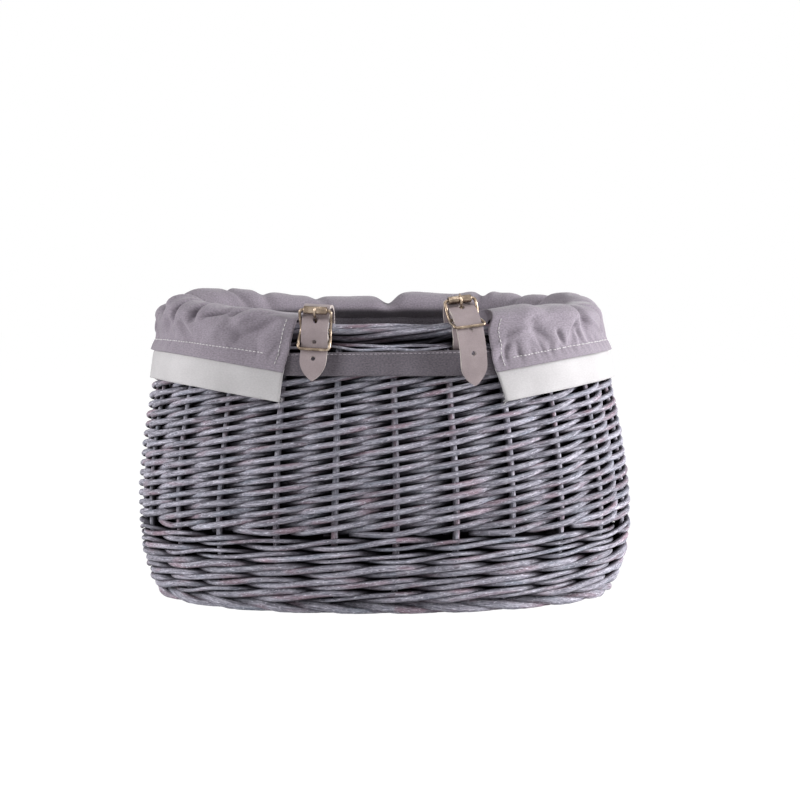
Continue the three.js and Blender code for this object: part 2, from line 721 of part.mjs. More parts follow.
// A buckled strap: round the border, through the slot under it and down in front over its buckle.
// Its section plane has u out of the basket and w up, from the middle of the border.
function buckledStrap(side, { lean, tilt, buckleOut, buckleUp, crest, tail }) {
  const share = side === "left" ? -strapShare.left : strapShare.right;
  const out = wallNormal(share, borderHeight);
  const stand = new THREE.Group();
  stand.position.copy(wallPoint(share, borderHeight, 0));
  stand.rotation.order = "ZYX";
  stand.rotation.z = Math.atan2(out.x, -out.y);
  stand.rotation.y = THREE.MathUtils.degToRad(tilt);
  basket.add(stand);

  const buckleU = BORDER_RADIUS + buckleOut;
  const leanAngle = THREE.MathUtils.degToRad(lean);
  const buckle = new THREE.Group();
  buckle.position.set(0, -buckleU, buckleUp);
  buckle.rotation.x = Math.PI / 2 - leanAngle;
  stand.add(buckle);

  const onBuckle = (y, z) =>
    new THREE.Vector3(
      buckleU + z * Math.cos(leanAngle) - y * Math.sin(leanAngle),
      buckleUp + z * Math.sin(leanAngle) + y * Math.cos(leanAngle),
      0,
    );
  const roundBorder = (degrees, gap) => {
    const angle = THREE.MathUtils.degToRad(degrees);
    const distance = BORDER_RADIUS + STRAP_GAP + strapHalf + gap;
    return new THREE.Vector3(distance * Math.cos(angle), distance * Math.sin(angle), 0);
  };
  const onWall = (drop, clear) => {
    const wall = halfDepth(borderHeight - drop) - halfDepth(borderHeight) + bandOffset + LINER_THICKNESS;
    return new THREE.Vector3(wall + STRAP_GAP + strapHalf + clear, -drop, 0);
  };
  const overBorder = (u, w) => new THREE.Vector3(u, BORDER_RADIUS + w, 0);
  const eye = onBuckle(0, -CENTRE_BAR_BACK);

  const route = new THREE.CatmullRomCurve3(
    [
      eye.clone().add(new THREE.Vector3(-loopRadius + strapHalf, -1, 0)),
      roundBorder(-12, 1),
      roundBorder(-45, 1.2),
      roundBorder(-75, 2.4),
      roundBorder(-105, 2.4),
      roundBorder(-135, 1.2),
      roundBorder(-165, 0.3),
      roundBorder(165, 0.3),
      ...crest.map(([u, w]) => overBorder(u, w)),
      onBuckle(BUCKLE_REACH + 1.2, rollerTuck),
      onBuckle(BUCKLE_REACH - 2.8, rollerTuck),
      onBuckle(PRONG_HOLE_UP, prongHoleOut),
      onBuckle(0, tailOut),
      onBuckle(-BUCKLE_REACH, tailAtFootBar),
      ...tail.map(([drop, clear]) => onWall(drop, clear)),
    ],
    false,
    "centripetal",
  );
  const length = route.getLength();
  const STATIONS = 34;
  const spaced = (distance) => {
    const along = route.getTangentAt(Math.min(1, distance / length));
    return { point: route.getPointAt(Math.min(1, distance / length)), along };
  };
  const toStand = (point, x) => new THREE.Vector3(x, -point.x, point.y);
  const rings = [];
  for (let k = 0; k <= STATIONS; k += 1) {
    const distance = (length * k) / STATIONS;
    const { point, along } = spaced(distance);
    const normal = new THREE.Vector3(-along.y, along.x, 0);
    const left = Math.max(0, length - distance);
    const toTip = Math.min(1, left / TIP_LENGTH);
    const half = (STRAP_WIDTH / 2) * Math.max(TIP_BLUNT, Math.sqrt(1 - (1 - toTip) ** 2));
    const front = point.clone().addScaledVector(normal, strapHalf);
    const rear = point.clone().addScaledVector(normal, -strapHalf);
    rings.push([toStand(front, -half), toStand(front, half), toStand(rear, half), toStand(rear, -half)]);
  }
  const loop = ring(eyeRadius, loopRadius, STRAP_WIDTH, 12);
  loop.translate(0, -eye.x, eye.y);

  const holeAt = (distance, width, height) => {
    const { point, along } = spaced(distance);
    const hole = new THREE.CylinderGeometry(width / 2, width / 2, 3 * STRAP_THICKNESS, 8);
    hole.scale(1, 1, height / width);
    hole.rotateX(Math.atan2(along.x, along.y));
    const centre = toStand(point, 0);
    return hole.translate(centre.x, centre.y, centre.z);
  };
  const prongPoint = onBuckle(PRONG_HOLE_UP, prongHoleOut);
  const fromProng = (distance) => spaced(distance).point.distanceTo(prongPoint);
  const SEARCH_STEPS = 400;
  const tries = Array.from({ length: SEARCH_STEPS + 1 }, (_, k) => (length * k) / SEARCH_STEPS);
  const prongDistance = tries.reduce((best, at) => (fromProng(at) < fromProng(best) ? at : best));
  const cuts = [holeAt(prongDistance, PRONG_HOLE_WIDTH, PRONG_HOLE_LENGTH)];
  for (let at = prongDistance + HOLE_PITCH; at < length - TIP_LENGTH; at += HOLE_PITCH) {
    cuts.push(holeAt(at, 2 * HOLE_RADIUS, 2 * HOLE_RADIUS));
  }
  const slotSize = 2 * (loopRadius + PIVOT_GAP);
  const slot = new THREE.BoxGeometry(PRONG_EYE_WIDTH + 2 * PRONG_SIDE_GAP, slotSize, slotSize);
  slot.translate(0, -eye.x, eye.y);
  cuts.push(slot);

  addPiece(stand, `strap_${side}`, cut(join([loft(rings, false), loop]), cuts), LEATHER);
  addPiece(buckle, `buckle_frame_${side}`, buckleFrame(), BRASS);
  const roller = ring(eyeRadius, ROLLER_RADIUS, 2 * (frameHalf - BUCKLE_CORNER), 12);
  addPiece(buckle, `buckle_roller_${side}`, roller, BRASS).position.set(0, BUCKLE_REACH, ROLLER_OUT);
  addPiece(buckle, `buckle_prong_${side}`, prong(), BRASS).position.set(0, 0, -CENTRE_BAR_BACK);
}

// The left buckle hangs upright in front of the border, and the right one leans back over it
buckledStrap("left", {
  lean: 0,
  tilt: 3,
  buckleOut: 6.9,
  buckleUp: 2.7,
  crest: [[-9.4, 2.3], [-5, 8.3], [2, 11.3], [8.5, 11.4]],
  tail: [[20.3, 4], [29.3, 3], [35.3, 2.4]],
});
buckledStrap("right", {
  lean: 46,
  tilt: -7,
  buckleOut: 3.8,
  buckleUp: 12.5,
  crest: [[-10.2, 3.3], [-8.2, 10.3], [-3.6, 15.2]],
  tail: [[3.3, 14.5], [12.3, 13], [22.3, 9], [32.3, 4], [39.3, 1.6]],
});

export default basket;
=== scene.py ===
import bpy
import numpy as np
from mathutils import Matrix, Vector


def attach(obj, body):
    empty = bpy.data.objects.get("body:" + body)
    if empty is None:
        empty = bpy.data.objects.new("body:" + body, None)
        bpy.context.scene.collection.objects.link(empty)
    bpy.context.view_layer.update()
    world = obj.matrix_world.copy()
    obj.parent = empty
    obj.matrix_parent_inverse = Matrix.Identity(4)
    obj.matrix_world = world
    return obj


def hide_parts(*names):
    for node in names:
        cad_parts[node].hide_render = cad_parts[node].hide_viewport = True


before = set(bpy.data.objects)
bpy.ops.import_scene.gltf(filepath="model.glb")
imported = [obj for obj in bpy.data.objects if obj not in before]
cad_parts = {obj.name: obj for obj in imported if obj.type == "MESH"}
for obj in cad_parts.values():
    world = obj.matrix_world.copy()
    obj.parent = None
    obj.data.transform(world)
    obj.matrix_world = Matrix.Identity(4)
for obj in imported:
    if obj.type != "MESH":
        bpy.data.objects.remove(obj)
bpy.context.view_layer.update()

chance = np.random.default_rng(7)

# Woven base
# An oval mat of peeled willow: base sticks that run out to the stakes, and thin rods woven over and
# under them, round after round, from the middle to the foot. All of it was washed with thin grey paint.
MM = 0.001
STAKES = 24
BELLY_HALF = np.array([200, 150]) * MM
RIM_HALF = np.array([174, 124]) * MM
FOOT_HALF = np.array([185, 133]) * MM
BELLY_Z = 74 * MM
RIM_Z = 220 * MM
WALL_HALF = 6.8 * MM
OVAL_POWER = 2.2
SHOULDER_CURVE = 1.5
FOOT_CURVE = 2.2
STAKE_DRIFT = 0.001
DRIFT_WAVES = [(1, 5, 1), (0.8, 7, 4.2), (0.6, 11, 0.4)]
RIM_LEAN = 3 * MM
LEAN_CURVE = 4
BASE_Z = 5 * MM
BASE_ROUNDS = 25
BASE_STEPS = 12 * STAKES
BASE_ROD = 2.1 * MM
BASE_RIDE = 1.1 * MM
BASE_INSET = -6.5 * MM
# Painted shade on the base rods: the heights, as lowness, where it is darkest and where it ends.
BASE_PAINTED_SHADE = (-BASE_Z - 3 * MM, -BASE_Z + 2 * MM)
STICK_INSET = -7 * MM
STICK_RADIUS = 2 * MM
STICK_STEPS = 12
GIRTH_STEPS = 1440
ROD_SPREAD = 40.0
FULL_TURN = 6.3


def way_along(value, start, end):
    """How far a value is on the way from start to end, from nought to one."""
    return np.clip((value - start) / (end - start), 0, 1)


def toward(first, second, share):
    """The place a share of the way from first to second."""
    return first + (second - first) * share


def wall_half(z):
    """Half the width and depth of the wall's middle at height z: the belly's, less a power of the way
    up to the rim or down to the foot."""
    z = np.asarray(z, float)[..., None]
    rise = way_along(z, BELLY_Z, RIM_Z) ** SHOULDER_CURVE
    drop = np.clip((BELLY_Z - z) / BELLY_Z, 0, None) ** FOOT_CURVE
    return BELLY_HALF - WALL_HALF - (BELLY_HALF - RIM_HALF) * rise - (BELLY_HALF - FOOT_HALF) * drop


def oval(value):
    """Sine or cosine raised to the oval's power, with its sign kept."""
    return np.sign(value) * np.abs(value) ** (2 / OVAL_POWER)


def lengths_along(line):
    """How far along a line each of its points is."""
    return np.concatenate([[0], np.cumsum(np.linalg.norm(np.diff(line, axis=0), axis=1))])


turn_angles = np.linspace(0, 2 * np.pi, GIRTH_STEPS + 1)
belly_line = wall_half(BELLY_Z) * np.stack([oval(np.sin(turn_angles)), oval(np.cos(turn_angles))], -1)
girth = lengths_along(belly_line)


def girth_angle(share):
    """The angle at a share of the belly's girth, counted from the strap side towards +X."""
    return np.interp(np.mod(share, 1), girth / girth[-1], turn_angles)


def wall_normal(share, z):
    """The level direction out of the wall: the oval's gradient, made one long."""
    angle = girth_angle(share)
    half = wall_half(z)
    power = 2 - 2 / OVAL_POWER
    x = np.sign(np.sin(angle)) * np.abs(np.sin(angle)) ** power / half[..., 0]
    y = -np.sign(np.cos(angle)) * np.abs(np.cos(angle)) ** power / half[..., 1]
    return np.stack([x, y, np.zeros_like(x)], -1) / np.hypot(x, y)[..., None]


def rim_lean(width_share, z):
    """How far hand weaving has drawn the rim to the left: at the oval's two ends only, and evenly more from
    the belly up."""
    return RIM_LEAN * way_along(z, BELLY_Z, RIM_Z) * np.minimum(np.abs(width_share), 1) ** LEAN_CURVE


def wall_point(share, z, out):
    """A point at a share of the girth, a height, and a distance out of the wall's middle."""
    share, z, out = np.broadcast_arrays(share, z, out)
    angle = girth_angle(share)
    half = wall_half(z)
    across, deep = oval(np.sin(angle)), -oval(np.cos(angle))
    middle = np.stack([half[..., 0] * across - rim_lean(across, z), half[..., 1] * deep, z], -1)
    return middle + out[..., None] * wall_normal(share, z)


def waves(along, terms):
    """A sum of sines, each with a size, a rate and a start."""
    return sum(size * np.sin(rate * along + start) for size, rate, start in terms)


def chance_wave(along, size, rate, span=FULL_TURN):
    """A sine that starts anywhere in a span."""
    return size * np.sin(rate * along + span * chance.random())


def between(low, high):
    """A chance value between two."""
    return toward(low, high, chance.random())


def stake_share(number):
    """A stake's share of the girth by its number: even steps, with the small drift of hand weaving."""
    return number / STAKES + STAKE_DRIFT * waves(2 * np.pi * number / STAKES, DRIFT_WAVES)


def unit(vectors):
    return vectors / np.linalg.norm(vectors, axis=-1, keepdims=True)


def rod_skin(path, outward, radius, sides=10, closed=False):
    """Circles square to a path, one to a point, each starting on the side away from outward."""
    tangent = np.roll(path, -1, 0) - np.roll(path, 1, 0) if closed else np.gradient(path, axis=0)
    tangent = unit(tangent)
    out = unit(outward - (outward * tangent).sum(-1, keepdims=True) * tangent)
    up = np.cross(tangent, out)
    angle = np.pi + np.linspace(0, 2 * np.pi, sides, endpoint=False)
    circle = np.cos(angle)[:, None] * out[:, None] + np.sin(angle)[:, None] * up[:, None]
    return path[:, None] + np.broadcast_to(radius, len(path))[:, None, None] * circle


def skin_mesh(name, skins, closed=False, open_sides=False):
    """One mesh from skins, each rows x sides x 3: quads between neighbouring rows, and flat ends.
    The UV map grain has metres along and round, and rod_tint has a chance value for each skin."""
    corners, ends, uvs, points, tints = [], [], [], [], []
    start = 0
    for skin in skins:
        rows, sides = skin.shape[:2]
        row, side = np.meshgrid(
            np.arange(rows if closed else rows - 1),
            np.arange(sides - 1 if open_sides else sides),
            indexing="ij",
        )
        nearer = (side + 1) % sides
        further = (row + 1) % rows
        this_row, next_row = row * sides, further * sides
        quad = np.stack([this_row + side, this_row + nearer, next_row + nearer, next_row + side], -1)
        middle = skin.mean(1)
        along = lengths_along(np.concatenate([middle, middle[:1]]))
        across = np.linalg.norm(skin[:, 1] - skin[:, 0], axis=1).mean()
        u = np.stack([along[row], along[row], along[row + 1], along[row + 1]], -1)
        v = np.stack([side, side + 1, side + 1, side], -1) * across
        corners.append(quad.reshape(-1, 4) + start)
        uvs.append(np.stack([u, v], -1).reshape(-1, 2))
        if not closed and not open_sides:
            ends.append((start + np.arange(sides))[::-1].tolist())
            ends.append((start + (rows - 1) * sides + np.arange(sides)).tolist())
        points.append(skin.reshape(-1, 3))
        tints.append(np.full(rows * sides, chance.random()))
        start += rows * sides
    quads = np.concatenate(corners)
    mesh = bpy.data.meshes.new(name)
    mesh.from_pydata(np.concatenate(points).tolist(), [], quads.tolist() + ends)
    grain = mesh.uv_layers.new(name="grain")
    flat_uvs = np.zeros((len(mesh.loops), 2))
    flat_uvs[: quads.size] = np.concatenate(uvs)
    grain.data.foreach_set("uv", flat_uvs.ravel())
    tint = mesh.attributes.new("rod_tint", "FLOAT", "POINT")
    tint.data.foreach_set("value", np.concatenate(tints))
    mesh.polygons.foreach_set("use_smooth", np.arange(len(mesh.polygons)) < len(quads))
    mesh.update()
    return mesh


def depth_out(points):
    """How far points are out of the wall's middle: their oval size against the wall's, times their reach."""
    half = wall_half(points[:, 2])
    x = points[:, 0] + rim_lean(points[:, 0] / half[:, 0], points[:, 2])
    place = np.stack([x, points[:, 1]], -1)
    size = (np.abs(place) / half) ** OVAL_POWER
    return (1 - 1 / size.sum(1) ** (1 / OVAL_POWER)) * np.hypot(place[:, 0], place[:, 1])


def paint_depth_shade(mesh, measure, deep_shade, full, sides=1.0):
    """Painted shade by a measure of each point, how deep it lies: darkest where the measure is under the
    first bound, none where it is over full, and darker on a rod's sides that turn away from the outside. It
    is kept on each point as an attribute, from nought where it is darkest to one where there is none."""
    points = np.empty(3 * len(mesh.vertices))
    normals = np.empty(3 * len(mesh.vertices))
    mesh.vertices.foreach_get("co", points)
    mesh.vertices.foreach_get("normal", normals)
    points, normals = points.reshape(-1, 3), normals.reshape(-1, 3)
    outward = unit(points[:, :2] / wall_half(points[:, 2]) ** 2)
    facing = np.clip((normals[:, :2] * outward).sum(1), 0, 1)
    shade_by_depth = way_along(measure(points), deep_shade, full) * toward(sides, 1, facing)
    mesh.attributes.new("shade_by_depth", "FLOAT", "POINT").data.foreach_set("value", shade_by_depth)


def add_piece(name, mesh, material, nodes=(), body="basket"):
    """An object at the origin that rides on a body and stands for its CAD nodes."""
    piece = bpy.data.objects.new(name, mesh)
    bpy.context.scene.collection.objects.link(piece)
    mesh.materials.append(material)
    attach(piece, body)
    if nodes:
        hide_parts(*nodes)
    return piece


def set_inputs(tree, node, inputs):
    """Values or links put on a node's inputs."""
    for socket, value in inputs.items():
        if isinstance(value, bpy.types.NodeSocket):
            tree.links.new(value, node.inputs[socket])
        else:
            node.inputs[socket].default_value = value


def add_node(tree, kind, inputs=None, **settings):
    """A shader node with its settings, and values or links on its inputs."""
    node = tree.nodes.new(kind)
    for key, value in settings.items():
        setattr(node, key, value)
    set_inputs(tree, node, inputs or {})
    return node


def ramp(tree, factor, *stops):
    """A colour ramp through stops of a place and a colour, or of a place and one value for a grey."""
    node = add_node(tree, "ShaderNodeValToRGB", {"Fac": factor})
    elements = node.color_ramp.elements
    while len(elements) < len(stops):
        elements.new(0.5)
    for element, (place, colour) in zip(elements, stops):
        element.position = place
        element.color = (*np.broadcast_to(colour, 3), 1)
    return node.outputs["Color"]


def mix(tree, factor, first, second, blend="MIX"):
    """Two colours mixed by a factor. The second may be a plain colour."""
    if isinstance(second, tuple):
        second = (*second, 1)
    inputs = {0: factor, 6: first, 7: second}
    return add_node(tree, "ShaderNodeMix", inputs, data_type="RGBA", blend_type=blend).outputs[2]


def new_material(name):
    material = bpy.data.materials.new(name)
    material.use_nodes = True
    return material, material.node_tree, material.node_tree.nodes["Principled BSDF"]


def grain_map(tree):
    return add_node(tree, "ShaderNodeUVMap", uv_map="grain").outputs["UV"]


def object_place(tree):
    return add_node(tree, "ShaderNodeTexCoord").outputs["Object"]


def noise(tree, vector, scale, detail, w=None):
    """Noise of a vector by one scale or three, moved along by w where one is given."""
    if isinstance(scale, tuple):
        vector = add_node(tree, "ShaderNodeMapping", {"Vector": vector, "Scale": scale}).outputs["Vector"]
        scale = 1.0
    inputs = {"Vector": vector, "Scale": scale, "Detail": detail}
    if w is not None:
        inputs["W"] = w
    dimensions = "3D" if w is None else "4D"
    return add_node(tree, "ShaderNodeTexNoise", inputs, noise_dimensions=dimensions).outputs["Fac"]


def times(tree, first, second, operation="MULTIPLY"):
    return add_node(tree, "ShaderNodeMath", {0: first, 1: second}, operation=operation).outputs[0]


def bumped(tree, height, strength, distance, invert=False):
    """Normals that follow a height."""
    inputs = {"Height": height, "Strength": strength, "Distance": distance}
    return add_node(tree, "ShaderNodeBump", inputs, invert=invert).outputs["Normal"]


def willow_finish():
    """Willow under thin grey paint: streaks along the rod, pink bark and blue-grey paint in patches, pale
    flecks, each rod a little lighter or darker, and painted shade: near black and without reflection where
    the rods lie deep in the wall or turn their sides away, and brighter where they stand out."""
    material, tree, shader = new_material("grey_washed_willow")
    grain = grain_map(tree)
    rod, shade_by_depth = (
        add_node(tree, "ShaderNodeAttribute", attribute_name=name).outputs["Fac"]
        for name in ("rod_tint", "shade_by_depth")
    )
    place = times(tree, rod, ROD_SPREAD)
    streak, patch, fleck, fibre = (
        noise(tree, grain, (along, round_rod, 1), detail, place)
        for along, round_rod, detail in ((70, 900, 5), (28, 120, 2), (420, 900, 2), (240, 2200, 3))
    )
    colour = ramp(
        tree, streak,
        (0.3, (0.1, 0.094, 0.113)),
        (0.43, (0.235, 0.228, 0.262)),
        (0.56, (0.36, 0.352, 0.395)),
        (0.72, (0.54, 0.53, 0.582)),
    )
    pink = ramp(tree, patch, (0.53, 0), (0.68, 0.65))
    blue = ramp(tree, patch, (0.3, 0.55), (0.45, 0))
    pale = ramp(tree, fleck, (0.57, 0), (0.68, 0.7))
    colour = mix(tree, pink, colour, (0.28, 0.165, 0.195))
    colour = mix(tree, blue, colour, (0.22, 0.255, 0.30))
    colour = mix(tree, pale, colour, (0.68, 0.67, 0.72))
    shade = ramp(tree, rod, (0.0, (0.72, 0.72, 0.73)), (1.0, (1.12, 1.11, 1.12)))
    lines = ramp(tree, fibre, (0.36, (0.5, 0.49, 0.515)), (0.62, (1.2, 1.2, 1.21)))
    # Painted shade: near black where the rods lie deep in the wall, and brighter where they stand out.
    deep_shade = ramp(
        tree, shade_by_depth, (0.0, (0.012, 0.011, 0.014)), (0.45, (0.25, 0.24, 0.26)), (1.0, (1.22, 1.22, 1.25))
    )
    for layer in (shade, lines, deep_shade):
        colour = mix(tree, 1.0, colour, layer, "MULTIPLY")
    height = times(tree, streak, times(tree, fibre, 0.6), "ADD")
    set_inputs(tree, shader, {
        "Base Color": colour,
        "Roughness": ramp(tree, streak, (0.3, 0.85), (0.8, 0.58)),
        # The painted shade also takes the reflection away, so the gaps between the rods stay black.
        "Specular IOR Level": times(tree, shade_by_depth, 0.5),
        "Normal": bumped(tree, height, 0.7, 0.5 * MM),
    })
    return material


willow = willow_finish()


def add_rods(name, skins, measure, shade_by_depth, nodes=(), closed=False):
    """A piece of willow with painted shade by a measure of its points: the bounds where the shade is darkest
    and where it ends, and the share left on a rod's sides.
    """
    mesh = skin_mesh(name, skins, closed)
    paint_depth_shade(mesh, measure, *shade_by_depth)
    add_piece(name, mesh, willow, nodes)


def base_rods():
    """Ovals shrunk evenly towards the middle, riding over one stick and under the next, and straight
    sticks out to the stakes."""
    share = np.linspace(0, 1, BASE_STEPS, endpoint=False)
    rim = wall_point(share, BASE_Z, BASE_INSET)
    rods = []
    for k in range(1, BASE_ROUNDS + 1):
        path = rim * [k / BASE_ROUNDS, k / BASE_ROUNDS, 1]
        path[:, 2] = BASE_Z + BASE_RIDE * np.cos(np.pi * STAKES * share + np.pi * k)
        rods.append(path)
    sticks = []
    for k in range(STAKES // 2):
        ends = wall_point(np.array([k / STAKES, k / STAKES + 0.5]), BASE_Z, STICK_INSET)
        sticks.append(toward(*ends, np.linspace(0, 1, STICK_STEPS)[:, None]))
    return rods, sticks


def lowness(points):
    return -points[:, 2]


base_rounds, base_sticks = base_rods()
up = np.array([0.0, 0.0, 1.0])
round_skins = [rod_skin(path, path * [1, 1, 0], BASE_ROD, 6, True) for path in base_rounds]
stick_skins = [rod_skin(path, up, STICK_RADIUS, 8) for path in base_sticks]
add_rods("woven_base", round_skins, lowness, BASE_PAINTED_SHADE, ["base_mat"], True)
add_rods("base_sticks", stick_skins, lowness, BASE_PAINTED_SHADE)

# Stakes
# Two dozen straight willow rods, pushed into the base and turned up, that carry the whole wall.
# Each has its own small bends, and thins a little upwards.
STAKE_RADIUS = 2.8 * MM
STAKE_TAPER = (1.02, 0.9)
STAKE_ENDS = (10.4 * MM, 203 * MM)
STAKE_STEPS = 48
STAKE_SWAY = 0.2 * MM
SWAY_LENGTH = 24 * MM
STAKE_LEAN = 0.0006
LEAN_LENGTH = 30 * MM
STAKE_SPAN = 6
# Painted shade: how deep in the wall it is darkest and where it ends, and the share left on the sides.
STAKE_PAINTED_SHADE = (-3 * MM, 1.5 * MM, 0.6)
for k in range(STAKES):
    z = np.linspace(*STAKE_ENDS, STAKE_STEPS)
    sway = chance_wave(z / SWAY_LENGTH, STAKE_SWAY, 1, STAKE_SPAN)
    share = stake_share(k) + chance_wave(z / LEAN_LENGTH, STAKE_LEAN, 1, STAKE_SPAN)
    radius = STAKE_RADIUS * np.linspace(*STAKE_TAPER, STAKE_STEPS)
    skin = rod_skin(wall_point(share, z, sway), wall_normal(share, z), radius)
    add_rods(f"willow_stake_{k + 1:02d}", [skin], depth_out, STAKE_PAINTED_SHADE, [f"stake_{k + 1:02d}"])

# Foot border
# Thick rods twisted together round the edge of the base, which the basket stands on. The rods slant
# down to the right, and they are worn flat underneath.
FOOT_Z = 3.7 * MM
FOOT_LAY = 2.3 * MM
FOOT_ROD = 3.7 * MM
FOOT_LAYS = 23
FOOT_STRANDS = 2
FOOT_STEPS = 24 * STAKES * FOOT_STRANDS
FOOT_KNOBS = [(0.05, 7, 0), (0.04, 19.5, 0)]
# Painted shade: how far from the roll's middle it is darkest and where it ends.
FOOT_PAINTED_SHADE = (0, 4.4 * MM)
foot_share = np.linspace(0, FOOT_STRANDS, FOOT_STEPS, endpoint=False)
foot_angle = -2 * np.pi * foot_share * FOOT_LAYS / FOOT_STRANDS
foot_path = wall_point(foot_share, FOOT_Z, FOOT_LAY * np.cos(foot_angle))
foot_path[:, 2] += FOOT_LAY * np.sin(foot_angle)
foot_radius = FOOT_ROD * (1 + waves(2 * np.pi * foot_share, FOOT_KNOBS))
foot_skin = rod_skin(foot_path, wall_normal(foot_share, foot_path[:, 2]), foot_radius, 12, True)
foot_skin[..., 2] = np.maximum(foot_skin[..., 2], 0)


def from_ring(height):
    """A measure of points: how far they are from the wall's middle at a height."""
    return lambda points: np.hypot(depth_out(points), points[:, 2] - height)


add_rods("foot_border_rods", [foot_skin], from_ring(FOOT_Z), FOOT_PAINTED_SHADE, ["foot_border"], True)

# Waling
# Rounds of three rods that lock the stakes at the foot of the wall. Each rod passes in front of two
# stakes and behind the third, rising a little as it goes. Thick and thin rods lie together.
WALE_BOTTOM = 9.2 * MM
WALE_ROUNDS = 5
WALE_SOLIDS = 4
WALE_ROUND = 10 * MM
WALE_ROD = 2.35 * MM
WALE_STOUTNESS = (0.66, 1.26)
WALE_RISE = 2.9 * MM
WALE_FRONT = 5.0 * MM
WALE_BEHIND = -5.4 * MM
WALE_BEND = 0.35 * MM
WALE_BEND_LAPS = (5, 11, 17)
WALE_KNOB = 0.07
WALE_KNOB_LAPS = 9
WALE_STEPS = 12
# Painted shade: how deep in the wall it is darkest and where it ends, and the share left on the sides.
WALE_PAINTED_SHADE = (-1.8 * MM, 6.8 * MM, 0.15)
wale_share = np.linspace(0, 1, WALE_STEPS * STAKES, endpoint=False)
wale_turn = 2 * np.pi * wale_share
for wale_round in range(WALE_ROUNDS):
    for rod, letter in enumerate("abc"):
        phase = np.mod(wale_share * STAKES + rod + wale_round, 3)
        near = np.minimum(phase, 3 - phase)
        dive = np.where(near < 1, np.cos(np.pi * near / 2) ** 2, 0)
        out = toward(WALE_FRONT, WALE_BEHIND, dive)
        bend = sum(chance_wave(wale_turn, WALE_BEND, laps, 2 * np.pi) for laps in WALE_BEND_LAPS)
        z = WALE_BOTTOM + (wale_round + 0.5) * WALE_ROUND - WALE_RISE * np.sin(2 * np.pi * phase / 3) + bend
        path = wall_point(stake_share(wale_share * STAKES), z, out)
        radius = WALE_ROD * between(*WALE_STOUTNESS)
        radius = radius * (1 + chance_wave(wale_turn, WALE_KNOB, WALE_KNOB_LAPS, 2 * np.pi))
        skin = rod_skin(path, wall_normal(wale_share, z), radius, 10, True)
        solids = [f"wale_{wale_round + 1}_rod_{letter}"] if wale_round < WALE_SOLIDS else []
        add_rods(f"wale_{wale_round + 1}_{letter}", [skin], depth_out, WALE_PAINTED_SHADE, solids, True)

# Side weave
# Slanting rods, two started at each stake with their butts on the waling. Each goes in front of one
# stake and behind the next and climbs to the border, thinner towards its tip.
WEAVE_BOTTOM = 60.7 * MM
WEAVE_TOP = 194.6 * MM
LEVELS = 34
LEVEL = (WEAVE_TOP - WEAVE_BOTTOM) / LEVELS
WEAVER_BUTT = 2.5 * MM
WEAVER_TIP = 2.2 * MM
WEAVER_SWING = 4.5 * MM
WEAVER_END = 16.45
WEAVER_STEPS = 150
WEAVER_BENDS = [(0.38 * MM, 1.25), (0.24 * MM, 2.9)]
WEAVER_STRAY = (0.2 * MM, 2.1)
WEAVER_STOUTNESS = (0.92, 1.08)
WEAVER_KNOBS = (0.05, 3.7)
BUTT_STARTS = (-0.75, -0.2)
BUTT_LEVEL = -0.15
# Painted shade: how deep in the wall it is darkest and where it ends, and the share left on the sides.
WEAVE_PAINTED_SHADE = (-2.6 * MM, 0.2 * MM, 0.4)
WEAVE_SETS = 4


def weaver(stake, level):
    """A path that climbs two levels from stake to stake, swinging out and in as a cosine."""
    step = np.linspace(BUTT_STARTS[(stake + level) % 2], WEAVER_END - level / 2, WEAVER_STEPS)
    share = stake_share(stake + step)
    climb = np.maximum(level + 2 * step, BUTT_LEVEL)
    bend = sum(chance_wave(step, *wave) for wave in WEAVER_BENDS)
    z = WEAVE_BOTTOM + (climb + 0.5) * LEVEL + bend
    out = WEAVER_SWING * np.cos(np.pi * (stake + level + step)) + chance_wave(step, *WEAVER_STRAY)
    radius = between(*WEAVER_STOUTNESS) * (WEAVER_BUTT + (WEAVER_TIP - WEAVER_BUTT) * step / WEAVER_END)
    radius = radius * (1 + chance_wave(step, *WEAVER_KNOBS))
    return rod_skin(wall_point(share, z, out), wall_normal(share, z), radius, 9)


stakes_per_set = STAKES // WEAVE_SETS
for weave_set in range(WEAVE_SETS):
    first = weave_set * stakes_per_set
    skins = [weaver(stake, level) for stake in range(first, first + stakes_per_set) for level in (0, 1)]
    name = f"slanting_rods_{weave_set + 1}"
    add_rods(name, skins, depth_out, WEAVE_PAINTED_SHADE, [f"side_weave_{weave_set + 1}"])

# Rim border
# The stakes' own ends, bent over to the right and laid round each other in long turns, almost level. The
# roll sags except where a strap draws it tight, and two thin rods lie level under it on the outside.
BORDER_Z = 211.3 * MM
BORDER_LAY = 6.2 * MM
BORDER_ROD = 2.3 * MM
BORDER_BAYS = 11
BORDER_SAG = 3.2 * MM
BORDER_SLACK = 1.2 * MM
BORDER_OVERRUN = 0.04
BORDER_STEPS = 150
BORDER_STRAY = (0.07, 19)
BORDER_BEND = 0.5 * MM
BORDER_BEND_RATE = 27
BORDER_BUTT = 1.08
BORDER_TAPER = 0.2
BORDER_STOUTNESS = (0.88, 1.12)
# Painted shade: how far from the roll's middle it is darkest and where it ends.
BORDER_PAINTED_SHADE = (6.1 * MM, 9.8 * MM)
STRAP_GRIP = 0.45
LEVEL_ROD_HEIGHTS = np.array([198.8, 201.6]) * MM
LEVEL_ROD = 1.2 * MM
LEVEL_ROD_OUT = 6 * MM
LEVEL_ROD_GRIP = 3.2 * MM
LEVEL_ROD_BEND_RATE = 150
LEVEL_ROD_ENDS = (0.5, 1.51)
LEVEL_ROD_STEPS = 480
STRAP_PLACE = {"left": -1.42, "right": 1.32}


def bump_at(x, middle, width):
    return np.exp(-(((x - middle) / width) ** 2))


def border_slack(share):
    """How loose the roll is: one away from the straps and nought where a strap goes round it."""
    number = np.mod(share * STAKES + STAKES / 2, STAKES) - STAKES / 2
    return 1 - sum(bump_at(number, strap_number, STRAP_GRIP) for strap_number in STRAP_PLACE.values())


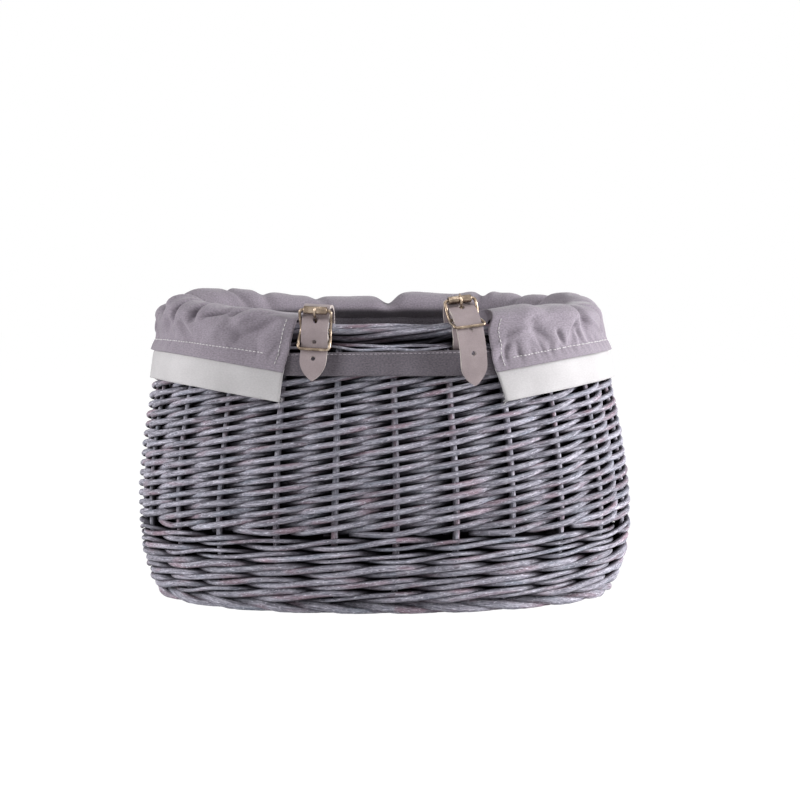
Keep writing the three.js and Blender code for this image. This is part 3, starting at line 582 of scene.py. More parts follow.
border_skins = []
for k in range(STAKES):
    run = np.linspace(-BORDER_OVERRUN, 1 + BORDER_OVERRUN, BORDER_STEPS)
    share = stake_share(k + BORDER_BAYS * run)
    angle = 2 * np.pi * run - np.pi
    lay = BORDER_LAY * (1 + chance_wave(run, *BORDER_STRAY))
    path = wall_point(share, BORDER_Z, lay * np.cos(angle))
    slack = border_slack(share)
    path[:, 2] += (lay + BORDER_SLACK * slack) * np.sin(angle) - BORDER_SAG * slack
    path[:, 2] += chance_wave(run, BORDER_BEND, BORDER_BEND_RATE)
    radius = BORDER_ROD * (BORDER_BUTT - BORDER_TAPER * run) * between(*BORDER_STOUTNESS)
    border_skins.append(rod_skin(path, wall_normal(share, path[:, 2]), radius))
for height in LEVEL_ROD_HEIGHTS:
    share = np.linspace(*LEVEL_ROD_ENDS, LEVEL_ROD_STEPS)
    drawn_in = LEVEL_ROD_GRIP * (1 - border_slack(share))
    bend = chance_wave(share, BORDER_BEND, LEVEL_ROD_BEND_RATE)
    path = wall_point(share, height + drawn_in + bend, LEVEL_ROD_OUT - drawn_in)
    border_skins.append(rod_skin(path, wall_normal(share, path[:, 2]), LEVEL_ROD, 8))
add_rods("rim_border_rods", border_skins, from_ring(BORDER_Z - BORDER_SAG), BORDER_PAINTED_SHADE, ["rim_border"])

# Liner bag
# Mauve cotton twill, darkened as painted shade for the basket's inside: an oval base panel, and a side
# panel sewn on round its edge, hanging inside the wicker from the rim. It falls in soft upright folds, and
# its back, towards the rods, is near black, painted shade for the gaps between the rods.
LINER_FLOOR = 9.8 * MM
BAG_OFFSET = -9 * MM
THROAT_OFFSET = -13 * MM
THROAT_Z = 191 * MM
SEAM_Z = 217 * MM
GAP_TOP_DROP = 11 * MM
GAP_TOP_HALF = 0.046
GAP_TOP_SLOPE = 0.016
THROAT_LENGTH = 8 * MM
BAG_BOTTOM = LINER_FLOOR + 1.2 * MM
BAG_STEPS = (361, 60)
BAG_FOLD = 1.1 * MM
BAG_FOLD_START = 20 * MM
BAG_FOLD_RISE = 120 * MM
BAG_FOLDS = 19
BAG_FOLD_DRIFT = [(1.5, 3, 0)]
BAG_FOLD_WAVES = [(0.6, 31, 2), (0.5, 7, 0)]
BAG_FOLD_MIDDLE = 1.5
THROAT_DRAW = 0.6
FLOOR_STEPS = (181, 40)
FLOOR_RELIEF = 0.5 * MM
FLOOR_WAVES = (90, 70)
FLOOR_MIDDLE = 0.001
SHADE_END_HEIGHTS = (196 * MM, 203 * MM)
TWILL_RIBS = 420.0
CLOTH = 1.1 * MM


def smooth_step(value):
    value = np.clip(value, 0, 1)
    return value * value * (3 - 2 * value)


def thread_group():
    """Twill threads on a UV map in metres: diagonal ribs, uneven yarn and soft cloudy wear."""
    group = bpy.data.node_groups.new("twill_threads", "ShaderNodeTree")
    for name, kind, way in (
        ("Vector", "NodeSocketVector", "INPUT"),
        ("Ribs", "NodeSocketFloat", "INPUT"),
        ("Height", "NodeSocketFloat", "OUTPUT"),
        ("Yarn", "NodeSocketFloat", "OUTPUT"),
        ("Cloud", "NodeSocketFloat", "OUTPUT"),
    ):
        group.interface.new_socket(name, in_out=way, socket_type=kind)
    source = group.nodes.new("NodeGroupInput")
    sink = group.nodes.new("NodeGroupOutput")
    turned = add_node(
        group, "ShaderNodeMapping", {"Vector": source.outputs["Vector"], "Rotation": (0, 0, 0.9)}
    )
    rib_inputs = {"Vector": turned.outputs["Vector"], "Scale": source.outputs["Ribs"]}
    wave = add_node(group, "ShaderNodeTexWave", {**rib_inputs, "Distortion": 1.2, "Detail": 2})
    yarn = noise(group, source.outputs["Vector"], (620, 950, 1), 4)
    cloud = noise(group, source.outputs["Vector"], 24.0, 4)
    height = times(group, wave.outputs["Fac"], yarn, "ADD")
    set_inputs(group, sink, {"Height": height, "Yarn": yarn, "Cloud": cloud})
    return group


threads = thread_group()


def cloth_finish(name, dark, light, ribs, depth, gloss=0.25):
    """Woven cotton: yarn to yarn between two tones, clouded, with ribs in the bump and a soft sheen."""
    material, tree, shader = new_material(name)
    weave = add_node(tree, "ShaderNodeGroup", node_tree=threads)
    set_inputs(tree, weave, {"Vector": grain_map(tree), "Ribs": ribs})
    yarn = weave.outputs["Yarn"]
    tone = ramp(tree, yarn, (0.3, dark), (0.7, light))
    cloud = ramp(tree, weave.outputs["Cloud"], (0.3, 0.86), (0.7, 1.06))
    set_inputs(tree, shader, {
        "Base Color": mix(tree, 1.0, tone, cloud, "MULTIPLY"),
        "Roughness": ramp(tree, yarn, (0.2, 0.97), (0.8, 0.82)),
        "Sheen Weight": gloss,
        "Specular IOR Level": gloss,
        "Sheen Roughness": 0.5,
        "Normal": bumped(tree, weave.outputs["Height"], depth, 0.2 * MM),
    })
    return material


# The bag's twill darkened as painted shade, for the basket's inside and for the band across the gap.
shaded_bag_twill = cloth_finish("mauve_twill_painted_shade", (0.1, 0.088, 0.105), (0.19, 0.168, 0.196), TWILL_RIBS, 0.4)
# Near black, with no sheen or reflection: painted shade for the gaps between the rods, behind the weave.
painted_shade_back = cloth_finish(
    "cloth_back_painted_shade", (0.006, 0.0055, 0.007), (0.016, 0.014, 0.017), TWILL_RIBS, 0.3, 0.0
)


def add_top_tone(material, tone, dark_to, tone_from):
    """A paler tone on the top of a cloth's back, where its painted shade gives way to the twill's own tone
    under the rim.
    """
    tree = material.node_tree
    colour = tree.nodes["Principled BSDF"].inputs["Base Color"]
    height = add_node(tree, "ShaderNodeSeparateXYZ", {"Vector": object_place(tree)}).outputs["Z"]
    heights = {"Value": height, "From Min": dark_to, "From Max": tone_from}
    share = add_node(tree, "ShaderNodeMapRange", heights).outputs["Result"]
    toned = mix(tree, share, colour.links[0].from_socket, tone)
    tree.links.new(toned, colour)


# The liner back's painted shade fades out to the twill's own tone between these two heights.
add_top_tone(painted_shade_back, (0.2, 0.175, 0.21), *SHADE_END_HEIGHTS)


def cloth_piece(name, surface, material, nodes):
    """A sheet of cloth from a grid of points, with its thickness."""
    mesh = skin_mesh(name, [surface], open_sides=True)
    piece = add_piece(name, mesh, material, nodes)
    solid = piece.modifiers.new("thickness", "SOLIDIFY")
    solid.thickness = CLOTH
    solid.offset = 0
    return piece


def grid(steps):
    """Shares from nought to one along a sheet's rows and columns."""
    return np.linspace(0, 1, steps[0])[:, None], np.linspace(0, 1, steps[1])[None]


def liner_side():
    """The wall's inside, further in at the throat, with upright folds that deepen upwards. Its top dips
    behind the border in the collar's gap."""
    share, v = grid(BAG_STEPS)
    from_gap = np.minimum(share, 1 - share) - GAP_TOP_HALF
    top = SEAM_Z - GAP_TOP_DROP * (1 - smooth_step(from_gap / GAP_TOP_SLOPE))
    z = toward(BAG_BOTTOM, top, v)
    throat = smooth_step((z - THROAT_Z) / THROAT_LENGTH)
    turn = 2 * np.pi * share
    folds = np.sin(BAG_FOLDS * turn + waves(turn, BAG_FOLD_DRIFT)) + waves(turn, BAG_FOLD_WAVES)
    depth = BAG_FOLD * smooth_step((z - BAG_FOLD_START) / BAG_FOLD_RISE) * (1 - THROAT_DRAW * throat)
    return wall_point(share, z, toward(BAG_OFFSET, THROAT_OFFSET, throat) - depth * (BAG_FOLD_MIDDLE + folds))


def liner_base():
    """An oval, shrunk evenly to the middle, a little uneven where it lies on the rods of the base."""
    share = grid(FLOOR_STEPS)[0]
    reach = np.linspace(1, FLOOR_MIDDLE, FLOOR_STEPS[1])[None]
    points = wall_point(share, LINER_FLOOR, BAG_OFFSET) * np.stack([reach, reach, np.ones_like(reach)], -1)
    relief = np.sin(FLOOR_WAVES[0] * points[..., 0]) * np.sin(FLOOR_WAVES[1] * points[..., 1] + 1)
    points[..., 2] += FLOOR_RELIEF * relief * (1 - reach)
    return points


liner_side_piece = cloth_piece(
    "liner_side_panel", liner_side(), shaded_bag_twill, ["liner_side"],
)
liner_side_piece.data.materials.append(painted_shade_back)
liner_side_piece.modifiers["thickness"].material_offset = 1
cloth_piece(
    "liner_base_panel", liner_base(), shaded_bag_twill, ["liner_base"],
)

# Collar
# The liner's top, in the twill's own tone, turned out over the border so that it stands up in a soft roll. A
# line of stitches gathers it above its hem, and it ends in a hemmed edge at each side of the straps.
COLLAR_DROP = 47 * MM
TRIM_HEIGHT = 22 * MM
TRIM_END_DROP = 13 * MM
END_SHARE = 0.16
STITCH_PLACES = [0, 0.2, 0.8, 1]
STITCH_RISES = np.array([8, 7.5, 7.5, 11.5]) * MM
COLLAR_STEPS = (800, 58)
COLLAR_LENGTH = 0.78
COLLAR_WIDTH = 0.078
GAP_HEIGHTS = np.array([160, 166, 186, 213, 228, 240]) * MM
GAP_LEFT = np.array([76, 75.6, 74.6, 70.5, 67.5, 67]) * MM
GAP_RIGHT = np.array([74.5, 73.5, 69, 66.5, 72, 75]) * MM
CREST_HEIGHT = 20 * MM
CREST_SHARES = [0.38, 0.6, 0.58, 0.52, 0.6, 0.85, 0.98, 0.83, 0.86, 1.03, 0.84, 0.96, 0.76, 0.74, 0.78, 1,
                1.1, 1.12, 0.5, 0.6, 0.84, 0.74, 0.5, 0.42, 0.2]
CHEEK_PLACES = [0, 0.12, 0.2, 0.3, 0.45, 0.75, 0.85, 1]
CHEEKS = np.array([15, 14.5, 9, 14, 18, 16, 14.5, 14.5]) * MM
PINCHES = np.array([11.5, 12.5, 9, 11, 12, 11, 10.5, 11]) * MM
# Each crease has its start and end in t and v, its depth, less than nought for a bulge, and width in mm.
CREASES = [
    ((0.845, 0.5), (0.8, 0.34), 11, 3.2),
    ((0.868, 0.82), (0.852, 0.5), 6.5, 3.6),
    ((0.866, 0.66), (0.86, 0.14), 12, 2.8),
    ((0.9, 0.86), (0.878, 0.55), 5.5, 3.4),
    ((0.895, 0.6), (0.886, 0.14), 12, 3),
    ((0.905, 0.52), (0.93, 0.36), 8, 2.6),
    ((0.93, 0.5), (0.955, 0.26), 9, 3.2),
    ((0.925, 0.84), (0.965, 0.36), -3, 8),
    ((0.945, 0.86), (0.985, 0.5), 4.5, 5),
    ((0.975, 0.86), (0.905, 0.3), 3.5, 6),
    ((0.815, 0.8), (0.822, 0.25), 10, 3),
    ((0.785, 0.8), (0.79, 0.25), 11, 3.2),
    ((0.765, 0.8), (0.77, 0.1), 8, 3.8),
    ((0.735, 0.7), (0.742, 0.1), 6, 6),
    ((0.68, 0.6), (0.66, 0.05), 4, 6),
    ((0.62, 0.6), (0.635, 0.05), 4, 7),
    ((0.57, 0.6), (0.56, 0.05), 3, 6),
    ((0.48, 0.6), (0.488, 0.05), 8, 8),
    ((0.385, 0.6), (0.37, 0.05), 4, 6),
    ((0.325, 0.6), (0.33, 0.05), 4, 6),
    ((0.28, 0.6), (0.29, 0.05), 5, 6),
    ((0.02, 0.8), (0.045, 0.34), -2.5, 9),
    ((0.062, 0.8), (0.035, 0.5), 3.5, 4.5),
    ((0.078, 0.86), (0.07, 0.62), 4, 2.4),
    ((0.088, 0.86), (0.095, 0.52), 5.5, 3),
    ((0.1, 0.86), (0.098, 0.6), 4, 2.2),
    ((0.115, 0.86), (0.1, 0.3), 5.5, 4),
    ((0.14, 0.86), (0.155, 0.5), 5.5, 3.6),
    ((0.13, 0.3), (0.162, 0.56), 10, 3.4),
    ((0.19, 0.8), (0.185, 0.28), 6, 4),
    ((0.225, 0.8), (0.22, 0.28), 6, 5),
]
FINE_STEPS = 2001
CREST_SOFT = 20
OUTER_SPRING = RIM_Z + 1 * MM
INNER_SPRING = RIM_Z + 5 * MM
HEM_STEP = 1.6 * MM
FACE_CURVE = 1.6
PLEATS = 120
PLEAT_WIDTH = (1.4 * MM, 2.7 * MM)
PLEAT_REACH = (0.06, 0.22)
PLEAT_DEPTH = (1.2 * MM, 3.8 * MM)
PLEAT_SLANT = 0.04
PLEAT_FAN = 4
PLEAT_JITTER = 0.8
HEM_PLEAT_SHARE = 0.5
HEM_PLEAT_REACH = 0.6
CALM_RIGHT = (0.04, 0.5)
CALM_LEFT = (COLLAR_LENGTH - 0.1, 0.35)
CALM_BACK = (0.42, 0.58, 0.3)
SLACK_FOLDS = 46
SLACK_CENTRE = (0.22, 0.67)
SLACK_WIDTH = (3.5 * MM, 9.5 * MM)
SLACK_SLANT = 0.09
SLACK_REACH = 0.15
SLACK_PUSH = (-0.3 * MM, 1.7 * MM)
CREASE_CURVE = 0.7
SEAM_FADE = 0.2
ROLL_IN = 10 * MM
CLEAR_OF_BORDER = 9.6 * MM
CLEAR_OF_WEAVE = 8 * MM
CLEAR_SOFTNESS = 0.8 * MM
CLEAR_FROM = BORDER_Z - BORDER_LAY - BORDER_SAG - 8 * MM
CLEAR_RISE = 6 * MM
TUCK_FROM = 0.62
TUCK_FADE = 0.2
HEM_TUCK = 0.3
TUCK_ROWS = 8
TUCK_LENGTH = 4 * MM
INNER_END = 0.12
CROWN_END = 0.52
FACE_END = 0.86


def share_at_width(x, z):
    """The share of the girth, on the front right, where the wall's middle reaches x."""
    tries = np.linspace(0, 0.25, FINE_STEPS)
    return np.interp(x, wall_point(tries, z, 0.0)[:, 0], tries)


def collar_share(t, z):
    """From the gap's right end (t = 0) round the back to its left end (t = 1); each end has its slant."""
    right = share_at_width(np.interp(z, GAP_HEIGHTS, GAP_RIGHT), RIM_Z)
    left = share_at_width(np.interp(z, GAP_HEIGHTS, GAP_LEFT), RIM_Z)
    return right + (1 - right - left) * t


def end_drop(t):
    """How much lower the cloth hangs towards the two ends of the gap."""
    from_end = np.clip(np.minimum(t, 1 - t) / END_SHARE, 0, 1)
    return TRIM_END_DROP * (1 - np.sin(np.pi / 2 * from_end))


def collar_form():
    """Up inside from the seam, over in half an oval, out and down to the gathering stitches, then the
    flat hem: t runs round the rim and v over the roll. Returns t, v, and the places out and up."""
    t, v = grid(COLLAR_STEPS)
    fine = np.linspace(0, 1, FINE_STEPS)
    steps = np.linspace(0, 1, len(CREST_SHARES))
    sharp = np.pad(np.interp(fine, steps, CREST_SHARES), CREST_SOFT, "edge")
    window = 2 * CREST_SOFT + 1
    crest = np.convolve(sharp, np.ones(window) / window, "valid")
    crown = RIM_Z + CREST_HEIGHT * np.interp(t, fine, crest)
    hem = RIM_Z - COLLAR_DROP + TRIM_HEIGHT - end_drop(t)
    stitch = hem + np.interp(t, STITCH_PLACES, STITCH_RISES)
    cheek = np.interp(t, CHEEK_PLACES, CHEEKS)
    pinch = np.interp(t, CHEEK_PLACES, PINCHES)
    rise = way_along(v, 0, INNER_END)
    angle = np.pi * (1 - way_along(v, INNER_END, CROWN_END))
    fall = way_along(v, CROWN_END, FACE_END)
    strip = way_along(v, FACE_END, 1)
    inner = THROAT_OFFSET - ROLL_IN * smooth_step(rise)
    out = (cheek + inner) / 2 + (cheek - inner) / 2 * np.cos(angle)
    foot = OUTER_SPRING + (INNER_SPRING - OUTER_SPRING) * (1 - np.cos(angle)) / 2
    z = toward(foot, crown, np.sin(angle))
    z = np.where(v < INNER_END, toward(SEAM_Z, INNER_SPRING, rise), z)
    out = np.where(v > CROWN_END, toward(cheek, pinch, smooth_step(fall) ** FACE_CURVE), out)
    z = np.where(v > CROWN_END, toward(OUTER_SPRING, stitch, fall), z)
    out = np.where(v > FACE_END, pinch + HEM_STEP * np.sin(strip * np.pi / 2), out)
    z = np.where(v > FACE_END, toward(stitch, hem, strip), z)
    return t, v, out, z


def from_line(x, y, start, end):
    """The share along a line and the distance from it, for places x and y."""
    way = end - start
    along = np.clip(((x - start[0]) * way[0] + (y - start[1]) * way[1]) / (way @ way), 0, 1)
    return along, np.hypot(x - start[0] - along * way[0], y - start[1] - along * way[1])


def gathers(t, v):
    """How far folds push the cloth out: narrow pleats that fan up from the stitches and are shallower near
    the gap, broad slack folds across the roll, calmer at the back, and then the single creases."""
    x = t * COLLAR_LENGTH
    away = np.clip(FACE_END - v, 0, 1)
    strip = way_along(v, FACE_END, 1)
    push = np.zeros(np.broadcast_shapes(t.shape, v.shape))
    for k in range(PLEATS):
        middle = COLLAR_LENGTH * (k + between(0, PLEAT_JITTER)) / PLEATS
        calm = CALM_LEFT[1] if middle > CALM_LEFT[0] else 1
        calm = CALM_RIGHT[1] if middle < CALM_RIGHT[0] else calm
        width = between(*PLEAT_WIDTH)
        reach = between(*PLEAT_REACH)
        depth = between(*PLEAT_DEPTH) * calm
        pleat = bump_at(x, middle + chance.normal(0, PLEAT_SLANT) * away, width * (1 + PLEAT_FAN * away))
        below = HEM_PLEAT_SHARE * bump_at(strip, 0, HEM_PLEAT_REACH)
        fade = np.where(v < FACE_END, bump_at(away, 0, reach), below)
        push -= depth * pleat * fade
    for k in range(SLACK_FOLDS):
        middle = COLLAR_LENGTH * (k + between(0, PLEAT_JITTER)) / SLACK_FOLDS
        centre = between(*SLACK_CENTRE)
        slanted = middle + chance.normal(0, SLACK_SLANT) * (v - centre)
        fold = bump_at(x, slanted, between(*SLACK_WIDTH))
        calm = CALM_BACK[2] if CALM_BACK[0] < k / SLACK_FOLDS < CALM_BACK[1] else 1
        push += calm * chance.normal(*SLACK_PUSH) * fold * bump_at(v, centre, SLACK_REACH)
    size = np.array([COLLAR_LENGTH, COLLAR_WIDTH])
    for start, end, depth, width in CREASES:
        along, across = from_line(x, v * COLLAR_WIDTH, start * size, end * size)
        push -= depth * MM * bump_at(across, 0, width * MM) * np.sin(np.pi * along) ** CREASE_CURVE
    return push * smooth_step(v / SEAM_FADE)


def clear_of_wicker(out, z):
    """Places out of the wall, rounded off where they would go inside the border or the weave under it."""
    clear = toward(CLEAR_OF_WEAVE, CLEAR_OF_BORDER, smooth_step((z - CLEAR_FROM) / CLEAR_RISE))
    return clear + CLEAR_SOFTNESS * np.logaddexp(0, (out - clear) / CLEAR_SOFTNESS)


def on_rim(share, out, z):
    """Points from places out and up, where the roll above the rim keeps to the rim's oval."""
    points = wall_point(share, np.minimum(z, RIM_Z), out)
    points[..., 2] = z
    return points


collar_t, collar_v, collar_out, collar_z = collar_form()
collar_at = collar_share(collar_t, collar_z)
folded_out = gathers(collar_t, collar_v)
roll = way_along(collar_v, INNER_END, CROWN_END)
collar_out = collar_out - folded_out * np.cos(np.pi * roll)
collar_z = collar_z + folded_out * np.sin(np.pi * roll)
collar_out = np.where(collar_v > CROWN_END, clear_of_wicker(collar_out, collar_z), collar_out)
collar_points = on_rim(collar_at, collar_out, collar_z)


def tucked_end(row, way):
    """The roll's end, drawn in towards the border row by row and a little back under the collar, where
    way is the direction of t into the collar. The flat hem only turns back."""
    tuck = np.linspace(0, 1, TUCK_ROWS + 1)[1:, None]
    grip = 1 - smooth_step((collar_v - TUCK_FROM) / TUCK_FADE)
    out, rise = collar_out[row], collar_z[row] - BORDER_Z
    reach = np.hypot(out, rise)
    closer = 1 + np.minimum(CLEAR_OF_BORDER / reach - 1, 0) * grip * smooth_step(tuck)
    back = way * TUCK_LENGTH / girth[-1] * np.sin(np.pi / 2 * tuck) * toward(HEM_TUCK, 1, grip)
    return on_rim(collar_at[row] + back, out * closer, BORDER_Z + rise * closer)


twill = cloth_finish("grey_mauve_twill", (0.212, 0.184, 0.22), (0.335, 0.295, 0.343), TWILL_RIBS, 0.4)
collar_nodes = [f"liner_collar_{part}" for part in ("right", "back_right", "back_left", "left")]
collar_sheet = np.concatenate([tucked_end(0, 1)[::-1], collar_points, tucked_end(-1, -1)])
cloth_piece(
    "turned_collar", collar_sheet, twill, collar_nodes,
)

# White trim
# A folded tape of white cotton, sewn under the collar's hem so that it hangs below it all the way round.
# It lies closest to the wicker at the ends of the oval, and its cut corners at the gap are frayed.
TRIM_PLACES = [0, 0.1, 0.2, 0.32, 0.45, 0.68, 0.8, 0.9, 1]
TRIM_OUTS = np.array([12.2, 11, 8.8, 10.6, 12.2, 11.4, 10, 11.4, 12.2]) * MM
TRIM_STEPS = (400, 14)
TRIM_LAP = 3 * MM
TRIM_TUCK = 1.4 * MM
TRIM_TUCK_SHARE = 0.3
TRIM_LEAN = 1.6 * MM
TRIM_WAVE = 0.3 * MM
TRIM_WAVES = [(1, 17, 1), (0.7, 29, 0)]
FRAYS = 7
FRAY_STEPS = 9
FRAY_LENGTH = 5 * MM
FRAY_RADIUS = 0.2 * MM
FRAY_LEAN = (0.3, 0.5)
FRAY_DROP = (0.4, 1)
FRAY_SHARE = (0.4, 1)
FRAY_CURL = 0.3


def trim_surface():
    """A band that hangs from the hem, following the wall, with a slow wave along its lower edge."""
    t, v = grid(TRIM_STEPS)
    z = RIM_Z - COLLAR_DROP + TRIM_HEIGHT + TRIM_LAP - end_drop(t) - (TRIM_HEIGHT + TRIM_LAP) * v
    out = np.interp(t, TRIM_PLACES, TRIM_OUTS) - TRIM_TUCK * (1 - smooth_step(v / TRIM_TUCK_SHARE))
    out = out - TRIM_LEAN * v + TRIM_WAVE * waves(2 * np.pi * t, TRIM_WAVES) * v
    return wall_point(collar_share(t, z), z, out)


white_tape = cloth_finish("white_cotton_tape", (0.492, 0.476, 0.488), (0.558, 0.541, 0.552), 800.0, 0.12)
trim_points = trim_surface()
cloth_piece(
    "white_trim", trim_points, white_tape, ["collar_trim"],
)


def fray_skins():
    """Short thin curls that leave the tape's cut ends near the lower corners, one after another."""
    part = np.linspace(0, 1, FRAY_STEPS)[:, None]
    skins = []
    for row, beside in ((0, 1), (-1, -2)):
        away = unit(trim_points[row, -1] - trim_points[beside, -1])
        for k in range(FRAYS):
            start = trim_points[row, -1 - k // 2]
            lean = away * chance.normal(*FRAY_LEAN) - up * between(*FRAY_DROP)
            curl = chance.normal(0, FRAY_CURL, 3)
            path = start + FRAY_LENGTH * between(*FRAY_SHARE) * (part * unit(lean) + part**2 * curl)
            skins.append(rod_skin(path, curl + [0, -1, 0], FRAY_RADIUS, 5))
    return skins


add_piece("trim_frays", skin_mesh("trim_frays", fray_skins()), white_tape)

# Band across the gap
# A flat tape of the bag's twill, darkened as painted shade, that joins the two ends of the collar under the
# straps, a little lower at its left, with one row of stitches along its top edge.
BAND_HALF = 94 * MM
BAND_BOTTOM = 179.5 * MM
BAND_HEIGHT = 19.5 * MM
BAND_OUT = 8.2 * MM
BAND_TILT = 3 * MM
BAND_STEPS = (160, 12)
BAND_WAVES = [(0.4 * MM, 300, 0), (0.25 * MM, 140, 1)]


def band_surface():
    """A strip along the wall, lower to the left, that stands a little proud between the stakes."""
    end = share_at_width(BAND_HALF, BAND_BOTTOM)
    share = np.linspace(-end, end, BAND_STEPS[0])[:, None]
    up_band = 1 - np.linspace(0, 1, BAND_STEPS[1])[None]
    z = BAND_BOTTOM + (BAND_HEIGHT - BAND_TILT * (1 - share / end) / 2) * up_band
    out = BAND_OUT + waves(share, BAND_WAVES)
    return wall_point(share, z, out)


band_points = band_surface()
cloth_piece(
    "band_across_gap", band_points, shaded_bag_twill, ["gap_band"],
)

# Stitching
# Cotton thread: a white row that gathers the collar above its hem, a white one down each hemmed end of
# the collar, and a mauve one along the top of the band. Each stitch dips into the cloth at both ends.
STITCH_LENGTH = 2.4 * MM
STITCH_PITCH = 3.3 * MM
STITCH_RADIUS = 0.33 * MM
STITCH_POINTS = 5
STITCH_END = 0.55
STITCH_SWELL = 0.45
STITCH_BOW = 0.35 * MM
STITCH_SINK = 0.1 * MM
END_ROW_SHARE = 0.0085
HEM_ROW_SHARE = 0.019


def thread_finish(name, dark, light):
    """Twisted cotton with darker plies."""
    material, tree, shader = new_material(name)
    ply = noise(tree, grain_map(tree), (1500, 2500, 1), 2)
    set_inputs(tree, shader, {"Base Color": ramp(tree, ply, (0.3, dark), (0.6, light)), "Roughness": 0.85})
    return material


white_thread = thread_finish("white_thread", (0.55, 0.53, 0.54), (0.85, 0.84, 0.84))
mauve_thread = thread_finish("mauve_thread", (0.26, 0.235, 0.265), (0.5, 0.455, 0.505))


def stitch_row(line, outward):
    """Short rods set along a line of points, each bowed out of the cloth and thin at its ends."""
    along = lengths_along(line)
    part = np.linspace(0, 1, STITCH_POINTS)
    bow = np.sin(np.pi * part)
    skins = []
    for start in np.arange(0, along[-1] - STITCH_LENGTH, STITCH_PITCH):
        at = start + part * STITCH_LENGTH
        path, out = (
            np.stack([np.interp(at, along, values[:, axis]) for axis in range(3)], -1)
            for values in (line, outward)
        )
        out = unit(out)
        path = path + out * (CLOTH / 2 + STITCH_BOW * bow - STITCH_SINK)[:, None]
        skins.append(rod_skin(path, out, STITCH_RADIUS * (STITCH_END + STITCH_SWELL * bow), 6))
    return skins


def surface_normals(points):
    """The direction out of a grid of points: its two gradients crossed."""
    return unit(np.cross(np.gradient(points, axis=1), np.gradient(points, axis=0)))


collar_normals = surface_normals(collar_points)
end_rows, skip_rows = (round(share * COLLAR_STEPS[0]) for share in (END_ROW_SHARE, HEM_ROW_SHARE))
hem_row = (slice(skip_rows, -skip_rows), round(FACE_END * (COLLAR_STEPS[1] - 1)))
face_columns = slice(COLLAR_STEPS[1] // 2, COLLAR_STEPS[1] - 2)
stitches = []
for stitch_line in (hem_row, (end_rows, face_columns), (-end_rows - 1, face_columns)):
    stitches += stitch_row(collar_points[stitch_line], collar_normals[stitch_line])
add_piece("collar_stitches", skin_mesh("collar_stitches", stitches), white_thread)
band_row = stitch_row(band_points[:, 1], surface_normals(band_points)[:, 1])
add_piece("band_stitches", skin_mesh("band_stitches", band_row), mauve_thread)

# Straps
# Two straps cut from taupe leather, with pale raw edges, punched holes and pointed tips. Each is folded
# round its buckle's middle bar, goes under and behind the border, and comes back behind the roller.
STRAP_WIDTH = 20 * MM
STRAP_THICKNESS = 2.2 * MM
HOLE_RADIUS = 1.7 * MM
HOLES_BELOW_PRONG = {"left": (18, 31), "right": (25, 42)}
SLOT_LENGTH = 6.8 * MM
SLOT_WIDTH = 4.2 * MM
SLOT_BELOW_PRONG = 1 * MM
FOLD_SLOT_HALF = 2.2 * MM
FOLD_SLOT_LENGTH = 11 * MM
HOLE_CENTRE = 0.4
STRAP_STEPS = (400, 35)
WORN_EDGE = 0.35 * MM
EDGE_ANGLE = 50
SPLINE_STEPS = 40
TIP_LENGTH = 16 * MM
TIP_CURVE = 0.8
TIP_SHARE = 0.05
FOLD_LENGTH = 10 * MM
FOLD_FADE = 12 * MM
FOLD_NARROWING = 0.84
BORDER_RADIUS = 8.7 * MM
STRAP_GAP = 0.4 * MM
STRAP_HALF = STRAP_THICKNESS / 2
WIRE_RADIUS = 1.4 * MM
PIVOT_GAP = 0.3 * MM
BUCKLE_REACH = 14.5 * MM
ROLLER_RADIUS = 3 * MM
ROLLER_OUT = 3.4 * MM
BAR_BACK = 2.5 * MM
FOOT_BAR_OUT = 4 * MM
PRONG_HOLE_UP = 8.6 * MM
LOOP_RADIUS = WIRE_RADIUS + PIVOT_GAP + STRAP_THICKNESS
TAIL_OUT = LOOP_RADIUS + STRAP_GAP + STRAP_HALF - BAR_BACK
ROLLER_TUCK = ROLLER_OUT - ROLLER_RADIUS - STRAP_GAP - STRAP_HALF
TAIL_AT_FOOT_BAR = FOOT_BAR_OUT - WIRE_RADIUS - STRAP_GAP - STRAP_HALF
PRONG_HOLE_OUT = ROLLER_TUCK + 1.5 * MM
FOLD_ANGLES = [-50, 0, 45, 90, 135]
UNDER_BORDER = [(-12, 1), (-45, 1.2), (-75, 2.4), (-105, 2.4), (-135, 1.2), (-165, 0.3), (165, 0.3)]
BEHIND_ROLLER = [1.2 * MM, -2.8 * MM]
STRAPS = {
    "left": {
        "lean": 0, "tilt": 3, "buckle": (BORDER_RADIUS + 6.9 * MM, 2.7 * MM),
        "crest": [(-9.4, 2.3), (-5, 8.3), (2, 11.3), (8.5, 11.4)],
        "tail": [(20.3, 4), (29.3, 3), (35.3, 2.4)],
    },
    "right": {
        "lean": 46, "tilt": -7, "buckle": (BORDER_RADIUS + 3.8 * MM, 12.5 * MM),
        "crest": [(-10.2, 3.3), (-8.2, 10.3), (-3.6, 15.2)],
        "tail": [(3.3, 14.5), (12.3, 13), (22.3, 9), (32.3, 4), (39.3, 1.6)],
    },
}


def strap_stand(side):
    """The place on the border's middle that a strap is set out from, and its three directions: across,
    out and up, tilted to one side."""
    share = np.array(STRAP_PLACE[side] / STAKES)
    origin = wall_point(share, BORDER_Z, 0.0)
    normal = wall_normal(share, BORDER_Z)
    level = np.array([-normal[1], normal[0], 0])
    tilt = np.radians(STRAPS[side]["tilt"])
    across = level * np.cos(tilt) - up * np.sin(tilt)
    upward = level * np.sin(tilt) + up * np.cos(tilt)
    return origin, across, normal, upward


def on_buckle(side, y, z):
    """A point of the buckle, y up the strap and z out of it, as (out, up) from the stand."""
    lean = np.radians(STRAPS[side]["lean"])
    out, rise = STRAPS[side]["buckle"]
    return (out + z * np.cos(lean) - y * np.sin(lean), rise + z * np.sin(lean) + y * np.cos(lean))


def moved(first, second, start, end, t):
    """The place at t on the way from first, at start, to second, at end."""
    return (first * (end - t) + second * (t - start)) / (end - start)


